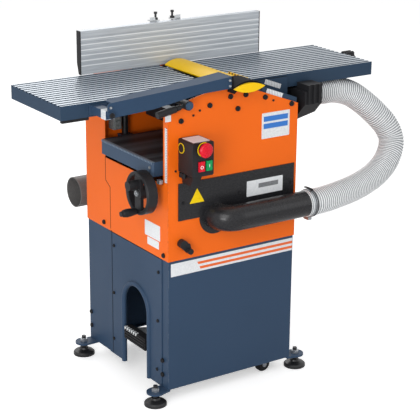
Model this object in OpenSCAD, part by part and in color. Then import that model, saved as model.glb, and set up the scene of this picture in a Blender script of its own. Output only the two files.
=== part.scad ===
// Combination planer thicknesser: a sheet steel cabinet, two grooved planing tables over a
// three-knife cutter block, a rising thicknessing table below it and a ribbed chip hose.
// Millimetres, +Z up. X runs along the tables, -Y is the operator's side, the floor is Z = 0.

/* [Cabinet] */
// Length of the cabinet along the tables
cab_w = 468; // [440:1:500]
// From the tables' front edge to the cabinet's front
front_room = 58; // [56:1:64]
// From the tables' rear edge to the cabinet's back
back_room = 128; // [124:1:140]
// Cabinet centre along X, seen from the cutter
cab_x = -10; // [-16:1:-4]
// Thickness of the sheet steel
sheet = 2.5; // [1.5:0.5:3.5]
// Height of the base's lower edge above the floor
base_z = 45; // [40:1:60]
// Height of the base's upper edge
base_top = 473; // [460:1:485]
// How far the body's sheets lap over the base
lap = 8; // [5:1:12]
// Clearance between lapped sheets
lap_gap = 0.3; // [0.2:0.1:0.6]
// Return of the base's front sheet round the corner
front_return = 47; // [42:1:60]
// Return of the base's rear sheet round the corner
rear_return = 148; // [120:1:170]
// How far an end panel laps over those returns
panel_lap = 12; // [6:1:16]
// Clear width of the foot arch
arch_w = 136; // [132:1:150]
// Height of the arch's crown above the floor
arch_top = 324; // [315:1:345]
// Middle of the arch along Y
arch_y = -23; // [-26:1:-18]
// Radius of the bead round the arch
bead_r = 8.5; // [6:0.5:10]
// Crest of the front panel along X
crest_x = -55; // [-65:1:-45]
// Height of the front panel's crest
crest_z = 970; // [966:1:972]
// Radius of the front panel's arched top
panel_r = 417; // [400:1:440]
// Height of the throat's lower edge
throat_z = 700; // [690:1:706]
// From the tables' front edge to the throat's front edge
throat_front = 30; // [26:1:34]
// From the tables' rear edge to the throat's rear edge
throat_back = 4; // [3:1:12]
// Thickness of the deck between base and body
deck_t = 4; // [3:1:8]

/* [Planing tables] */
// Width of the tables
table_w = 308; // [280:1:340]
// Height of the table tops
table_top = 972; // [970:1:976]
// Reach of each table from the cutter
table_reach = 561; // [500:1:620]
// Gap between the tables at the cutter
mouth = 100; // [96:1:104]
// Height of a table's sides
table_h = 42; // [38:1:44]
// Thickness of a table's top plate
plate_t = 10; // [8:1:14]
// Thickness of a table's walls
wall_t = 8; // [6:1:12]
// Grooves across one table
groove_n = 14; // [10:1:18]
// Width of a groove
groove_w = 9; // [6:0.5:11]
// Depth of a groove
groove_d = 3; // [2:0.5:5]
// Slope of the infeed table's ways
way_angle = 20.7; // [18:0.1:22]
// Height of a way bar, square to its slope
way_h = 20; // [16:1:22]
// Sliding clearance under the way bars
way_gap = 0.1; // [0.05:0.05:0.2]
// Radius of the depth knob
knob_r = 22; // [18:1:28]

/* [Cutter and feed] */
// Cutting circle radius
cut_r = 35; // [34:0.5:37]
// Cutter body radius
body_r = 33; // [31:0.5:33.5]
// Knives round the cutter
knife_n = 3; // [2:1:4]
// Thickness of the cast side frames
frame_t = 20; // [16:1:24]
// Lower edge of the side frames
frame_z = 708; // [704:1:720]
// Outer radius of a cutter bearing
bearing_r = 26; // [24:0.5:28]
// Cutter journal radius in its bearings
journal_r = 12.5; // [11:0.5:14]
// Width of a cutter bearing
bearing_w = 15; // [12:1:18]
// Feed roller radius
roller_r = 16; // [14:0.5:17]
// Distance of each feed roller from the cutter
roller_x = 80; // [78:1:86]
// Feed roller journal radius
roller_pin_r = 8.5; // [7:0.5:9]
// Radius of the cutter's pulley
cutter_pulley_r = 17; // [15:1:18]
// Radius of the motor's pulley
motor_pulley_r = 34; // [28:1:38]
// Height of the motor's axis
motor_z = 372; // [360:1:384]
// Radius of the motor
motor_r = 70; // [60:1:76]
// Thickness of the drive belt
belt_t = 6; // [4:0.5:6.5]
// Running clearance of shafts and pins
run_gap = 0.05; // [0.02:0.01:0.1]
// Clearance of belts and chains round their wheels
loop_gap = 0.3; // [0.2:0.1:0.5]

/* [Thicknessing table] */
// How much narrower the thicknessing table is than the tables above
rise_less = 2; // [0:1:8]
// Left end of the thicknessing table, past the cabinet
rise_out = 18; // [10:1:24]
// Thickness of the thicknessing table
rise_t = 45; // [40:1:46]
// Height of its top as it stands
rise_z = 763; // [758:1:775]
// Guide post radius
post_r = 10; // [8:0.5:11]
// Lift screw radius
screw_r = 12; // [10:0.5:14]
// Handwheel centre behind the cabinet's front
wheel_in = 72; // [66:1:80]
// Height of the handwheel's centre
wheel_z = 673; // [668:1:676]
// Outer radius of the handwheel
wheel_r = 66; // [58:1:70]
// How far the handwheel's rim stands off the cabinet
wheel_off = 56; // [50:1:70]
// Handwheel shaft radius
shaft_r = 8; // [6:0.5:10]
// Handwheel grip length
grip_len = 50; // [40:1:65]

/* [Fence and guard] */
// Length of the fence
fence_len = 660; // [560:1:760]
// Height of the fence
fence_h = 134; // [110:1:150]
// Thickness of the fence
fence_t = 22; // [20:1:26]
// Clearance of the fence over the table
fence_gap = 1; // [0.5:0.5:3]
// Distance from the fence's middle to the cutter
fence_x = 5; // [-10:1:20]
// Width of the guard plate
guard_w = 90; // [80:1:100]
// Rise of the guard plate's arch
guard_rise = 14; // [10:1:18]
// Thickness of the guard plate
guard_t = 3; // [2:0.5:4]
// From the guard plate's rear end to the tables' rear edge
guard_short = 14; // [12:1:44]
// How far the guard plate stands out past the cabinet's front
guard_over = 46; // [40:1:80]
// Guard arm's pivot along X
pivot_x = -447; // [-470:1:-430]
// Height of the guard arm's pivot
pivot_z = 950; // [946:1:955]

/* [Chip extraction] */
// Outer radius of the front duct
duct_r = 40; // [38:0.5:43]
// Wall of the ducts
duct_t = 3; // [2:0.5:4]
// Middle of the front elbow along X
duct_x = -78; // [-84:1:-76]
// Height of the front duct
duct_z = 584; // [580:1:588]
// Bend radius of the front elbow
duct_bend = 50; // [46:1:60]
// Outer radius of the pipe through the cabinet
through_r = 35; // [32:0.5:36]
// Fall of that pipe to the rear, in degrees
through_fall = 6; // [4:0.5:7]
// Outer radius of the rear outlet
outlet_r = 50; // [45:0.5:52]
// Bend radius of the rear elbow
outlet_bend = 62; // [58:1:70]
// Outer radius of the hose over its ribs
hose_r = 42; // [40:0.5:44]
// Depth of the hose's ribs
rib_d = 3; // [2:0.5:4]
// Ribs along the hose
rib_n = 84; // [60:1:110]

/* [Feet, pedal and wheels] */
// Radius of a levelling pad
pad_r = 35; // [28:1:40]
// Stud radius of a levelling foot
stud_r = 7; // [5:0.5:8]
// How far the feet stand out past the base
foot_out = 36; // [32:1:44]
// Inset of the feet from the base's front and back
foot_in = 18; // [18:1:20]
// Radius of the transport wheels
wheel_small_r = 25; // [22:1:26]
// Height of the wheel axle as it stands
axle_z = 28; // [27:1:32]
// Wheel axle along X
axle_x = 140; // [130:1:150]
// Pedal pivot along X
pedal_x = 200; // [194:1:204]
// Height of the pedal pivot
pedal_z = 66; // [62:1:70]
// Pedal tread's height
tread_z = 152; // [146:1:160]

/* [Controls] */
// Width of the switch box
switch_w = 73; // [68:1:80]
// Height of the switch box
switch_h = 102; // [96:1:110]
// Depth of the switch box
switch_d = 77; // [66:1:84]
// Middle of the switch box along X
switch_x = -173; // [-176:1:-165]
// Lower edge of the switch box
switch_z = 742; // [738:1:750]
// Stop mushroom radius
mushroom_r = 22; // [20:0.5:24]
// Feed lever shaft radius
lever_r = 6; // [5:0.5:8]
// Feed lever's shaft along X
lever_x = -200; // [-204:1:-194]
// Height of the feed lever's shaft
lever_z = 519; // [515:1:530]

/* [Hidden] */
$fn = 48;

// Colours
orange = "#EE6C1E";
slate = "#364A60";
alu = "#B4BCC6";
steel = "#9A9EA3";
black = "#2B2B2E";
yellow = "#F5C400";
white = "#D8DADC";

// Tables across Y
half_w = table_w / 2;
rise_w = table_w - rise_less;

// Cabinet faces
cab_l = cab_x - cab_w / 2;
cab_r = cab_x + cab_w / 2;
cab_f = -half_w - front_room;
cab_b = half_w + back_room;
throat_f = -half_w - throat_front;
throat_b = half_w + throat_back;
in_l = cab_l + sheet;
in_r = cab_r - sheet;
in_f = cab_f + sheet;
in_b = cab_b - sheet;
base_l = in_l + lap_gap;
base_r = in_r - lap_gap;
base_f = in_f + lap_gap;
base_b = in_b - lap_gap;
body_z = base_top - lap;
deck_z = base_top + deck_t;
hem = 18;

// Side frames and cutter
frame_in = -(in_f + frame_t);
frame_back = frame_in + frame_t;
cutter_z = table_top - cut_r;
cut_low = cutter_z - cut_r;
roller_z = cut_low - 1 + roller_r;
cut_w = table_w - 4;
ledge_z = table_top - 43;
boss_wall = 6;
way_drop = 6;
way_x = crest_x + panel_r * sin(way_angle);
way_top = crest_z - panel_r + panel_r * cos(way_angle);
way_start = 74;
rod_r = 8;
rod_x = -128;
rod_z = roller_z;
bar_z = cut_low + 1;
bar_h = 14;
bar_w = 30;
post_y = (frame_in + rise_w / 2) / 2;
post_x = [-164, 120];

// Lines of the front panel's top and of the ways under the infeed table
function panel_line(x) = way_top - tan(way_angle) * (x - way_x);
function panel_arc(x) = crest_z - panel_r + sqrt(panel_r * panel_r - (x - crest_x) * (x - crest_x));
function way(x) = panel_line(x) - way_drop;

side_top_l = panel_arc(cab_l) - 3;
side_top_r = way(cab_r) - 3;

// Planing tables
table_low = table_top - table_h;
mouth_x = mouth / 2;
scallop_x = 150;
scallop_z = table_top - 27;
groove_pitch = table_w / groove_n;
knob_y = 35;
knob_z = table_low + 15;
knob_neck = 38;
knob_len = 34;
knob_pin_r = 6;

// Thicknessing table and lift
rise_l = cab_l - rise_out;
rise_r = cab_r + 16;
rise_low = rise_z - rise_t;
wheel_y = cab_f + wheel_in;
rise_plate = 12;
ear_w = 36;
ear_out = frame_in - 3;
lift_x = 10;
gear_top = 695;
gear_low = 634;
wheel_x = cab_l - wheel_off;
rim_t = 12;
rim_d = 36;
grip_z = wheel_z - wheel_r + rim_t - 1;
grip_pin_r = 5;

// Drive in the rear compartment
pulley_y = frame_back + 13;
pulley_w = 24;
motor_back = frame_back - 39.5;
pulley_shaft_r = journal_r - 3.5;
chain_y = [frame_back + 1.5, frame_back + 6.5];
chain_w = 4;
sprocket_r = 12;
case_y = 52;
case_top = 790;
case_wheel_z = case_top - 30;
case_x = -150;

// Fence, carriage and guard
fence_face = half_w;
fence_z = table_top + fence_gap;
hinge_y = fence_face + fence_t + 9;
hinge_z = fence_z + 22;
hinge_r = 6;
slide_x = -80;
slide_w = 50;
slide_t = 12;
slide_z = table_top + 6;
slide_len = 170;
slide_gap = 0.3;
lug_w = 70;
lug_back = half_w + 82;
guard_x = 10;
guard_back = half_w - guard_short;
guard_front = cab_f - guard_over;
guard_z = table_top + 4;
guard_r = (guard_w * guard_w / 4 + guard_rise * guard_rise) / (2 * guard_rise);
guard_cz = guard_z + guard_rise - guard_r;
cap_t = 7;
holder_y0 = guard_front + cap_t + 1;
holder_y1 = -half_w - 21;
arm_y = cab_f - 23;
arm_t = 2.5;
arm_flange = 42;
arm_flange_end = 70;
pivot_r = 6;
clamp_x = -189;
clamp_z = table_top - 29;
clamp_r = 7;

// Extraction
duct_y = cab_f - duct_bend - 3;
duct_end = cab_r - 4;
spigot_len = 32;
hood_z0 = cut_low - 80;
hood_z1 = cut_low - 4;
hood_x0 = -100;
hood_wall = 3;
port_y1 = 86 - half_w;
port_room = 10;
port_z = way(cab_r + port_room) - 3;
adapter_x0 = cab_r + 22;
adapter_len = 70;
adapter_x1 = adapter_x0 + adapter_len;
adapter_out = 34;
hose_end_y = cab_f + 100;
hose_end_z = table_low - hose_r;
hose_n = 10;
hose_wall = 2.5;
hose_butt = 0.3;
hose_slip = 0.7;
hose_bore_r = hose_r - rib_d - hose_wall;
spigot_r = hose_bore_r * cos(180 / hose_n) - hose_slip;

// Hose route, chosen by hand, from the front duct round to the hood's adapter
hose_route = [[duct_end + hose_butt, duct_y, duct_z], [244, duct_y, duct_z], [268, duct_y, duct_z],
    [312, cab_f - 50, 585], [364, cab_f - 43, 588], [421, cab_f - 33, 592], [482, cab_f - 21, 601],
    [547, cab_f - 6, 619], [604, cab_f + 12, 652], [638, cab_f + 32, 703], [627, cab_f + 50, 753],
    [594, cab_f + 67, 795], [556, cab_f + 82, 832], [506, cab_f + 94, 867], [450, hose_end_y, 885],
    [397, hose_end_y, hose_end_z], [350, hose_end_y, hose_end_z],
    [adapter_x1 + hose_butt, hose_end_y, hose_end_z]];

// Feet, pedal and wheels
foot_x = [base_l - foot_out, base_r + foot_out];
foot_y = [base_f + foot_in, base_b - foot_in];
bracket_t = 5;
bracket_h = 70;
bracket_w = 26;
tab_r = 28;
shelf_t = 6;
shelf_z = base_z - shelf_t;
stud_over = 9;
nut_h = 10;
nut_r = 13;
pedal_r = 9;
axle_r = 8;
arm_ys = [-45, 19];
arm_bar_t = 8;
tread_x = cab_l + 20;
tread_len = arch_w - 10;
small_wheel_w = 24;
small_wheel_y = [base_f + hem + 7, base_b - hem - 7 - small_wheel_w];

// The finished part stands with its origin under the middle of its outline
reach_l = -table_reach;
reach_r = table_reach + knob_neck + knob_len;
reach_f = min(guard_front, duct_y - duct_r);
outlet_neck = 14;
outlet_y = cab_b + outlet_neck + outlet_bend;
reach_b = outlet_y + outlet_r;
origin_x = (reach_l + reach_r) / 2;
origin_y = (reach_f + reach_b) / 2;

module place() {
    translate([-origin_x, -origin_y, 0])
        children();
}

// Block between two corners
module box(x0, x1, y0, y1, z0, z1) {
    translate([x0, y0, z0])
        cube([x1 - x0, y1 - y0, z1 - z0]);
}

// Rod along X, Y or Z
module rod_x_axis(y, z, r, x0, x1) {
    translate([x0, y, z])
        rotate([0, 90, 0])
            cylinder(r = r, h = x1 - x0);
}

module rod_y_axis(x, z, r, y0, y1) {
    translate([x, y0, z])
        rotate([-90, 0, 0])
            cylinder(r = r, h = y1 - y0);
}

module rod_z_axis(x, y, r, z0, z1) {
    translate([x, y, z0])
        cylinder(r = r, h = z1 - z0);
}

// A profile in X and Z, drawn out along Y
module along_y(y0, y1) {
    translate([0, y1, 0])
        rotate([90, 0, 0])
            linear_extrude(y1 - y0)
                children();
}

// A profile in Y and Z, drawn out along X
module along_x(x0, x1) {
    translate([x0, 0, 0])
        rotate([90, 0, 90])
            linear_extrude(x1 - x0)
                children();
}

// Outline of the front and rear panels: an arch that runs out into the slope of the ways
module panel_outline(x0, x1, z0) {
    intersection() {
        translate([x0, z0])
            square([x1 - x0, crest_z]);
        union() {
            translate([crest_x, crest_z - panel_r])
                circle(panel_r, $fn = 180);
            polygon([[way_x, z0], [x1 + 1, z0], [x1 + 1, panel_line(x1 + 1)],
                [way_x, way_top]]);
        }
    }
}

// Base

// Lug inside the base that carries one end of the pedal's shaft
module pedal_lug(y0, y1, bore_y0, bore_y1) {
    difference() {
        box(pedal_x - pedal_r - 6, pedal_x + pedal_r + 6, y0, y1, base_z, pedal_z + pedal_r + 6);
        rod_y_axis(pedal_x, pedal_z, pedal_r + run_gap, bore_y0, bore_y1);
    }
}

module base_front() {
    color(slate) {
        box(base_l, base_r, base_f, base_f + sheet, base_z, base_top);
        box(base_l, base_r, base_f, base_f + hem, base_z, base_z + sheet);
        box(base_l, base_l + sheet, base_f, base_f + front_return, base_z, base_top);
        box(base_r - sheet, base_r, base_f, base_f + front_return, base_z, base_top);
        pedal_lug(base_f, base_f + hem, base_f + sheet, base_f + hem + 1);
    }
}

module base_rear() {
    color(slate) {
        box(base_l, base_r, base_b - sheet, base_b, base_z, base_top);
        box(base_l, base_r, base_b - hem, base_b, base_z, base_z + sheet);
        box(base_l, base_l + sheet, base_b - rear_return, base_b, base_z, base_top);
        box(base_r - sheet, base_r, base_b - rear_return, base_b, base_z, base_top);
        pedal_lug(base_b - hem, base_b, base_b - hem - 1, base_b - sheet);
    }
}

// Flat end panel that laps over the returns of the front and rear sheets
module end_panel() {
    y0 = base_f + front_return - panel_lap;
    y1 = base_b - rear_return + panel_lap;
    translate([y0, base_z])
        square([y1 - y0, body_z - 3 - base_z]);
}

module base_left() {
    arch_r = arch_w / 2 + bead_r;
    arch_z = arch_top - arch_w / 2;
    bead_x = base_l - sheet / 2;
    color(slate) {
        along_x(base_l - sheet, base_l)
            difference() {
                end_panel();
                translate([arch_y, arch_z])
                    circle(arch_r);
                translate([arch_y - arch_r, base_z - 1])
                    square([2 * arch_r, arch_z - base_z + 1]);
            }
        translate([bead_x, arch_y, arch_z])
            rotate([90, 0, 90])
                rotate_extrude(angle = 180)
                    translate([arch_r, 0])
                        circle(bead_r);
        for (side = [-1, 1])
            rod_z_axis(bead_x, arch_y + side * arch_r, bead_r, base_z, arch_z);
    }
}

module base_right() {
    color(slate)
        along_x(base_r, base_r + sheet)
            end_panel();
}

module deck_plate() {
    color(steel)
        box(in_l + lap_gap, in_r - lap_gap, in_f + lap_gap, frame_back, base_top, deck_z);
}

// Angle brackets on the base's corners and the levelling feet they stand on
module foot_brackets() {
    leg_in = hem + 1;
    color(slate)
        for (i = [0, 1])
            for (side = [0, 1]) {
                out = side == 0 ? -1 : 1;
                wall_x = side == 0 ? base_l + sheet : base_r - sheet - bracket_t;
                inner_x = side == 0 ? wall_x + bracket_t : wall_x;
                leg_y = i == 0 ? base_f + leg_in : base_b - leg_in - bracket_w;
                far_y = i == 0 ? leg_y + bracket_w : leg_y;
                near_y = i == 0 ? base_f + 1 : base_b - 1;
                turn = i == 0 ? 1 : -1;
                box(wall_x, wall_x + bracket_t, leg_y, leg_y + bracket_w, base_z, base_z + bracket_h);
                difference() {
                    translate([0, 0, shelf_z])
                        linear_extrude(shelf_t) {
                            translate([foot_x[side], foot_y[i]])
                                circle(tab_r);
                            polygon([[foot_x[side], foot_y[i] - turn * tab_r], [inner_x, near_y],
                                [inner_x, far_y], [foot_x[side], foot_y[i] + turn * tab_r]]);
                        }
                    rod_z_axis(foot_x[side], foot_y[i], stud_r + 0.1, shelf_z - 1, base_z + 1);
                }
            }
}

module levelling_feet() {
    color(steel)
        for (x = foot_x)
            for (y = foot_y)
                translate([x, y, 0]) {
                    rotate_extrude()
                        polygon([[0, 0], [pad_r, 0], [pad_r, 8], [pad_r - 4, 12],
                            [stud_r + 8, 18], [stud_r + 6, 24], [0, 24]]);
                    cylinder(r = stud_r, h = base_z + nut_h + stud_over);
                    translate([0, 0, shelf_z - nut_h])
                        cylinder(r = nut_r, h = nut_h, $fn = 6);
                    translate([0, 0, base_z])
                        cylinder(r = nut_r, h = nut_h, $fn = 6);
                }
}

// Pedal: a long lever pivoted at the right, with the wheel axle close to its pivot
module pedal_arms() {
    bar_half = 13;
    color(steel) {
        for (y = arm_ys)
            along_y(y, y + arm_bar_t) {
                polygon([[pedal_x + pedal_r + 4, pedal_z - bar_half],
                    [pedal_x + pedal_r + 4, pedal_z + bar_half], [tread_x, tread_z + bar_half],
                    [tread_x, tread_z - bar_half]]);
                translate([axle_x - bar_half, axle_z - axle_r - 4])
                    square([2 * bar_half, pedal_z - axle_z + axle_r + 4]);
            }
        rod_y_axis(pedal_x, pedal_z, pedal_r, base_f + sheet + 1, base_b - sheet - 1);
        rod_y_axis(axle_x, axle_z, axle_r, small_wheel_y[0] - 3, small_wheel_y[1] + small_wheel_w + 3);
    }
}

module pedal_tread() {
    tread_h = 40;
    tread_t = 26;
    rib_w = 4;
    rib_step = 9;
    y0 = arch_y - tread_len / 2;
    color(black) {
        box(tread_x - tread_t, tread_x, y0, y0 + tread_len, tread_z - tread_h / 2, tread_z + tread_h / 2);
        for (z = [tread_z - tread_h / 2 + rib_w:rib_step:tread_z + tread_h / 2 - rib_w])
            box(tread_x - tread_t - 3, tread_x - tread_t, y0 + 4, y0 + tread_len - 4, z, z + rib_w);
    }
}

module small_wheel(y0) {
    color(black)
        translate([axle_x, y0, axle_z])
            rotate([-90, 0, 0])
                rotate_extrude()
                    polygon([[axle_r + run_gap, 0], [wheel_small_r - 7, 0], [wheel_small_r - 7, 3],
                        [wheel_small_r - 3, 2], [wheel_small_r, 6],
                        [wheel_small_r, small_wheel_w - 6], [wheel_small_r - 3, small_wheel_w - 2],
                        [wheel_small_r - 7, small_wheel_w - 3], [wheel_small_r - 7, small_wheel_w],
                        [axle_r + run_gap, small_wheel_w]]);
}

module wheel_front() {
    small_wheel(small_wheel_y[0]);
}

module wheel_rear() {
    small_wheel(small_wheel_y[1]);
}

// Body

module body_front() {
    color(orange)
        difference() {
            along_y(cab_f, in_f)
                panel_outline(cab_l, cab_r, body_z);
            rod_y_axis(duct_x, duct_z, duct_r + lap_gap, cab_f - 1, in_f + 1);
            rod_y_axis(lever_x, lever_z, lever_r + run_gap, cab_f - 1, in_f + 1);
            rod_y_axis(clamp_x, clamp_z, clamp_r + 0.5, cab_f - 1, in_f + 1);
        }
}

module body_rear() {
    color(orange)
        difference() {
            union() {
                along_y(in_b, cab_b)
                    panel_outline(cab_l, cab_r, body_z);
                along_y(frame_back + lap_gap, in_b)
                    difference() {
                        panel_outline(in_l, in_r, body_z);
                        translate([0, -sheet])
                            panel_outline(in_l - 1, in_r + 1, body_z - 1);
                    }
            }
            through_frame()
                rotate([-90, 0, 0])
                    cylinder(r = through_r + 2, h = 2 * (cab_b - cab_f));
        }
}

seam_y = half_w - 24;
seam_low = 610;
seam_high = 627;
seam_gap = 0.5;

module body_left() {
    color(orange)
        difference() {
            along_x(cab_l, in_l)
                polygon([[in_f, body_z], [seam_y, body_z], [seam_y, seam_low], [throat_b, seam_high],
                    [throat_b, throat_z], [throat_f, throat_z], [throat_f, side_top_l],
                    [in_f, side_top_l]]);
            rod_x_axis(wheel_y, wheel_z, shaft_r + run_gap, cab_l - 1, in_l + 1);
        }
}

module drive_side_cover() {
    color(orange)
        along_x(cab_l, in_l)
            polygon([[seam_y + seam_gap, body_z], [in_b, body_z], [in_b, side_top_l],
                [throat_b + seam_gap, side_top_l], [throat_b + seam_gap, seam_high],
                [seam_y + seam_gap, seam_low - seam_gap]]);
}

module body_right() {
    color(orange)
        along_x(in_r, cab_r)
            polygon([[in_f, body_z], [in_b, body_z], [in_b, side_top_r], [throat_b, side_top_r],
                [throat_b, throat_z], [throat_f, throat_z], [throat_f, side_top_r],
                [in_f, side_top_r]]);
}

// Cast side frame with its ledge for the outfeed table and its slope for the infeed table
module side_frame(y0, y1) {
    boss_r = bearing_r + boss_wall;
    color(orange)
        difference() {
            union() {
                along_y(y0, y1) {
                    polygon([[in_l, frame_z], [in_r, frame_z], [in_r, way(in_r)],
                        [boss_r + 4, way(boss_r + 4)], [boss_r + 4, ledge_z], [in_l, ledge_z]]);
                }
                rod_y_axis(0, cutter_z, boss_r, y0, y1);
            }
            rod_y_axis(0, cutter_z, bearing_r, y0 - 1, y1 + 1);
            for (side = [-1, 1])
                rod_y_axis(side * roller_x, roller_z, roller_pin_r + run_gap, y0 - 1, y1 + 1);
        }
}

module front_frame() {
    side_frame(-frame_back, -frame_in);
}

module rear_frame() {
    side_frame(frame_in, frame_back);
}

// Bars between the frames: two hold the guide posts' tops, one carries the kickback fingers
module cross_bars() {
    color(steel) {
        for (x = post_x)
            box(x - bar_w / 2, x + bar_w / 2, -frame_in, frame_in, bar_z, bar_z + bar_h);
        rod_y_axis(rod_x, rod_z, rod_r, -frame_in, frame_in);
    }
}

module guide_posts() {
    color(black)
        for (x = post_x)
            for (side = [-1, 1])
                rod_z_axis(x, side * post_y, post_r, deck_z, bar_z);
}

// Lift

module lift_gearbox() {
    half = 34;
    pedestal = 22;
    color(slate)
        difference() {
            union() {
                box(lift_x - half, lift_x + half, wheel_y - half, half, gear_low, gear_top);
                box(lift_x - pedestal, lift_x + pedestal, -pedestal, pedestal, deck_z, gear_low);
                box(lift_x - half, lift_x + half, -half, half, deck_z, deck_z + 10);
            }
            rod_z_axis(lift_x, 0, screw_r + run_gap, deck_z + 40, gear_top + 1);
            rod_x_axis(wheel_y, wheel_z, shaft_r + run_gap, lift_x - half - 1, lift_x);
        }
}

module lift_screw() {
    color(steel)
        rod_z_axis(lift_x, 0, screw_r, rise_low - 118, rise_low);
}

module handwheel_shaft() {
    color(steel)
        rod_x_axis(wheel_y, wheel_z, shaft_r, wheel_x + 4, lift_x - 1);
}

// Handwheel: broad rim, upright web with a clamp knob above and the crank grip's pin below
module handwheel() {
    rim_x = -9;
    edge = 3;
    knob = 15;
    hub_r = 20;
    web_w = 34;
    web_t = 10;
    web_half = wheel_r - rim_t + 1;
    color(black)
        difference() {
            union() {
                translate([wheel_x, wheel_y, wheel_z])
                    rotate([0, 90, 0]) {
                        rotate_extrude()
                            polygon([[wheel_r - rim_t, rim_x + edge], [wheel_r - rim_t + edge, rim_x],
                                [wheel_r - edge, rim_x], [wheel_r, rim_x + edge],
                                [wheel_r, rim_x + rim_d - edge], [wheel_r - edge, rim_x + rim_d],
                                [wheel_r - rim_t + edge, rim_x + rim_d],
                                [wheel_r - rim_t, rim_x + rim_d - edge]]);
                        translate([0, 0, -6])
                            cylinder(r = hub_r, h = wheel_off - 12);
                        translate([-web_half, -web_w / 2, -web_t / 2])
                            cube([2 * web_half, web_w, web_t]);
                        translate([-hub_r - 7, 0, -40])
                            cylinder(r = knob, h = 40);
                    }
                rod_x_axis(wheel_y, grip_z, grip_pin_r, wheel_x - grip_len - 12, wheel_x);
                rod_x_axis(wheel_y, grip_z, grip_pin_r + 3, wheel_x - grip_len - 14,
                    wheel_x - grip_len - 10);
            }
            rod_x_axis(wheel_y, wheel_z, shaft_r + run_gap, wheel_x + 4, cab_l);
        }
}

module handwheel_grip() {
    color(black)
        translate([wheel_x - grip_len - 9, wheel_y, grip_z])
            rotate([0, 90, 0])
                rotate_extrude()
                    polygon([[grip_pin_r + run_gap, 0], [8, 0], [11, 4], [13, 16],
                        [12, grip_len - 20], [9.5, grip_len - 3], [8, grip_len],
                        [grip_pin_r + run_gap, grip_len]]);
}

// Thicknessing table: a plate with a rim and ribs below, ears round the guide posts
// and a boss for the lift screw, its outer corners cut
module thicknesser_table() {
    rim = 10;
    half = rise_w / 2;
    corner = 6;
    color(slate)
        difference() {
            union() {
                box(rise_l, rise_r, -half, half, rise_z - rise_plate, rise_z);
                for (side = [-1, 1]) {
                    box(rise_l, rise_r, side > 0 ? half - rim : -half, side > 0 ? half : rim - half,
                        rise_low, rise_z);
                    for (x = post_x)
                        box(x - ear_w / 2, x + ear_w / 2, side > 0 ? half - rim : -ear_out,
                            side > 0 ? ear_out : rim - half, rise_low, rise_z);
                }
                for (x = [rise_l, post_x[0], post_x[1], rise_r - rim])
                    box(x, x + rim, -half, half, rise_low, rise_z);
                rod_z_axis(lift_x, 0, screw_r + 14, rise_low, rise_z);
                box(rise_l, rise_r, -rim / 2, rim / 2, rise_low, rise_z);
            }
            for (x = post_x)
                for (side = [-1, 1])
                    rod_z_axis(x, side * post_y, post_r + run_gap, rise_low - 1, rise_z + 1);
            for (x = [rise_l, rise_r])
                for (y = [-half, half])
                    translate([x, y, rise_low - 1])
                        rotate([0, 0, 45])
                            translate([-corner, -corner, 0] / sqrt(2))
                                cube([2 * corner / sqrt(2), 2 * corner / sqrt(2), rise_t + 2]);
        }
}

// Cutter

// Places its children at each knife, turned about the cutter's axis
module at_knives() {
    for (i = [0:knife_n - 1])
        translate([0, 0, cutter_z])
            rotate([0, i * 360 / knife_n, 0])
                children();
}

slot_low = 18;
slot_half = 6;
slot_gap = 0.1;

module cutter_block() {
    half = cut_w / 2;
    color(steel)
        difference() {
            union() {
                rod_y_axis(0, cutter_z, body_r, -half, half);
                rod_y_axis(0, cutter_z, journal_r - run_gap, -frame_back + 2, frame_back);
                rod_y_axis(0, cutter_z, pulley_shaft_r, frame_back, pulley_y + pulley_w + 4);
            }
            at_knives()
                box(-slot_half, slot_half, -half - 1, half + 1, slot_low, body_r + 2);
        }
}

module cutter_knives() {
    half = cut_w / 2;
    knife_t = 3;
    color("#C9CDD1")
        at_knives() {
            box(slot_half - slot_gap - knife_t, slot_half - slot_gap, -half, half,
                slot_low + slot_gap, cut_r);
            box(slot_gap - slot_half, slot_half - slot_gap - knife_t, -half + 2, half - 2,
                slot_low + slot_gap, body_r - 2);
        }
}

module cutter_bearings() {
    color(steel)
        for (y = [-frame_in - frame_t / 2, frame_in + frame_t / 2])
            difference() {
                rod_y_axis(0, cutter_z, bearing_r - 0.02, y - bearing_w / 2, y + bearing_w / 2);
                rod_y_axis(0, cutter_z, journal_r, y - frame_t, y + frame_t);
            }
}

// Belt pulley with two vee grooves
module pulley(x, z, r, bore) {
    lip = 3;
    vee = 4;
    translate([x, pulley_y, z])
        rotate([-90, 0, 0])
            rotate_extrude()
                polygon([[bore, 0], [r, 0], [r, lip], [r - vee, lip + 3], [r - vee, lip + 5],
                    [r, pulley_w / 2 - 1], [r, pulley_w / 2 + 1], [r - vee, pulley_w - lip - 5],
                    [r - vee, pulley_w - lip - 3], [r, pulley_w - lip], [r, pulley_w],
                    [bore, pulley_w]]);
}

module cutter_pulley() {
    color(steel)
        pulley(0, cutter_z, cutter_pulley_r, pulley_shaft_r + 0.02);
}

// Motor under the deck, its foot bolted up to the deck
module motor() {
    front = -60;
    color(slate)
        difference() {
            union() {
                rod_y_axis(0, motor_z, motor_r, front, motor_back);
                rod_y_axis(0, motor_z, motor_r - 6, front - 24, front);
                rod_y_axis(0, motor_z, motor_r - 30, motor_back, motor_back + 10);
                for (angle = [0:20:340])
                    translate([0, 0, motor_z])
                        rotate([0, angle, 0])
                            box(-1.5, 1.5, front + 20, motor_back - 30, motor_r - 2, motor_r + 5);
                box(-50, 50, -10, 120, motor_z + 40, base_top);
            }
            rod_y_axis(0, motor_z, pulley_shaft_r + run_gap, motor_back - 40, motor_back + 11);
        }
}

module motor_pulley() {
    color(steel) {
        rod_y_axis(0, motor_z, pulley_shaft_r, motor_back - 38, pulley_y + pulley_w + 4);
        pulley(0, motor_z, motor_pulley_r, pulley_shaft_r - 1);
    }
}

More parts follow.
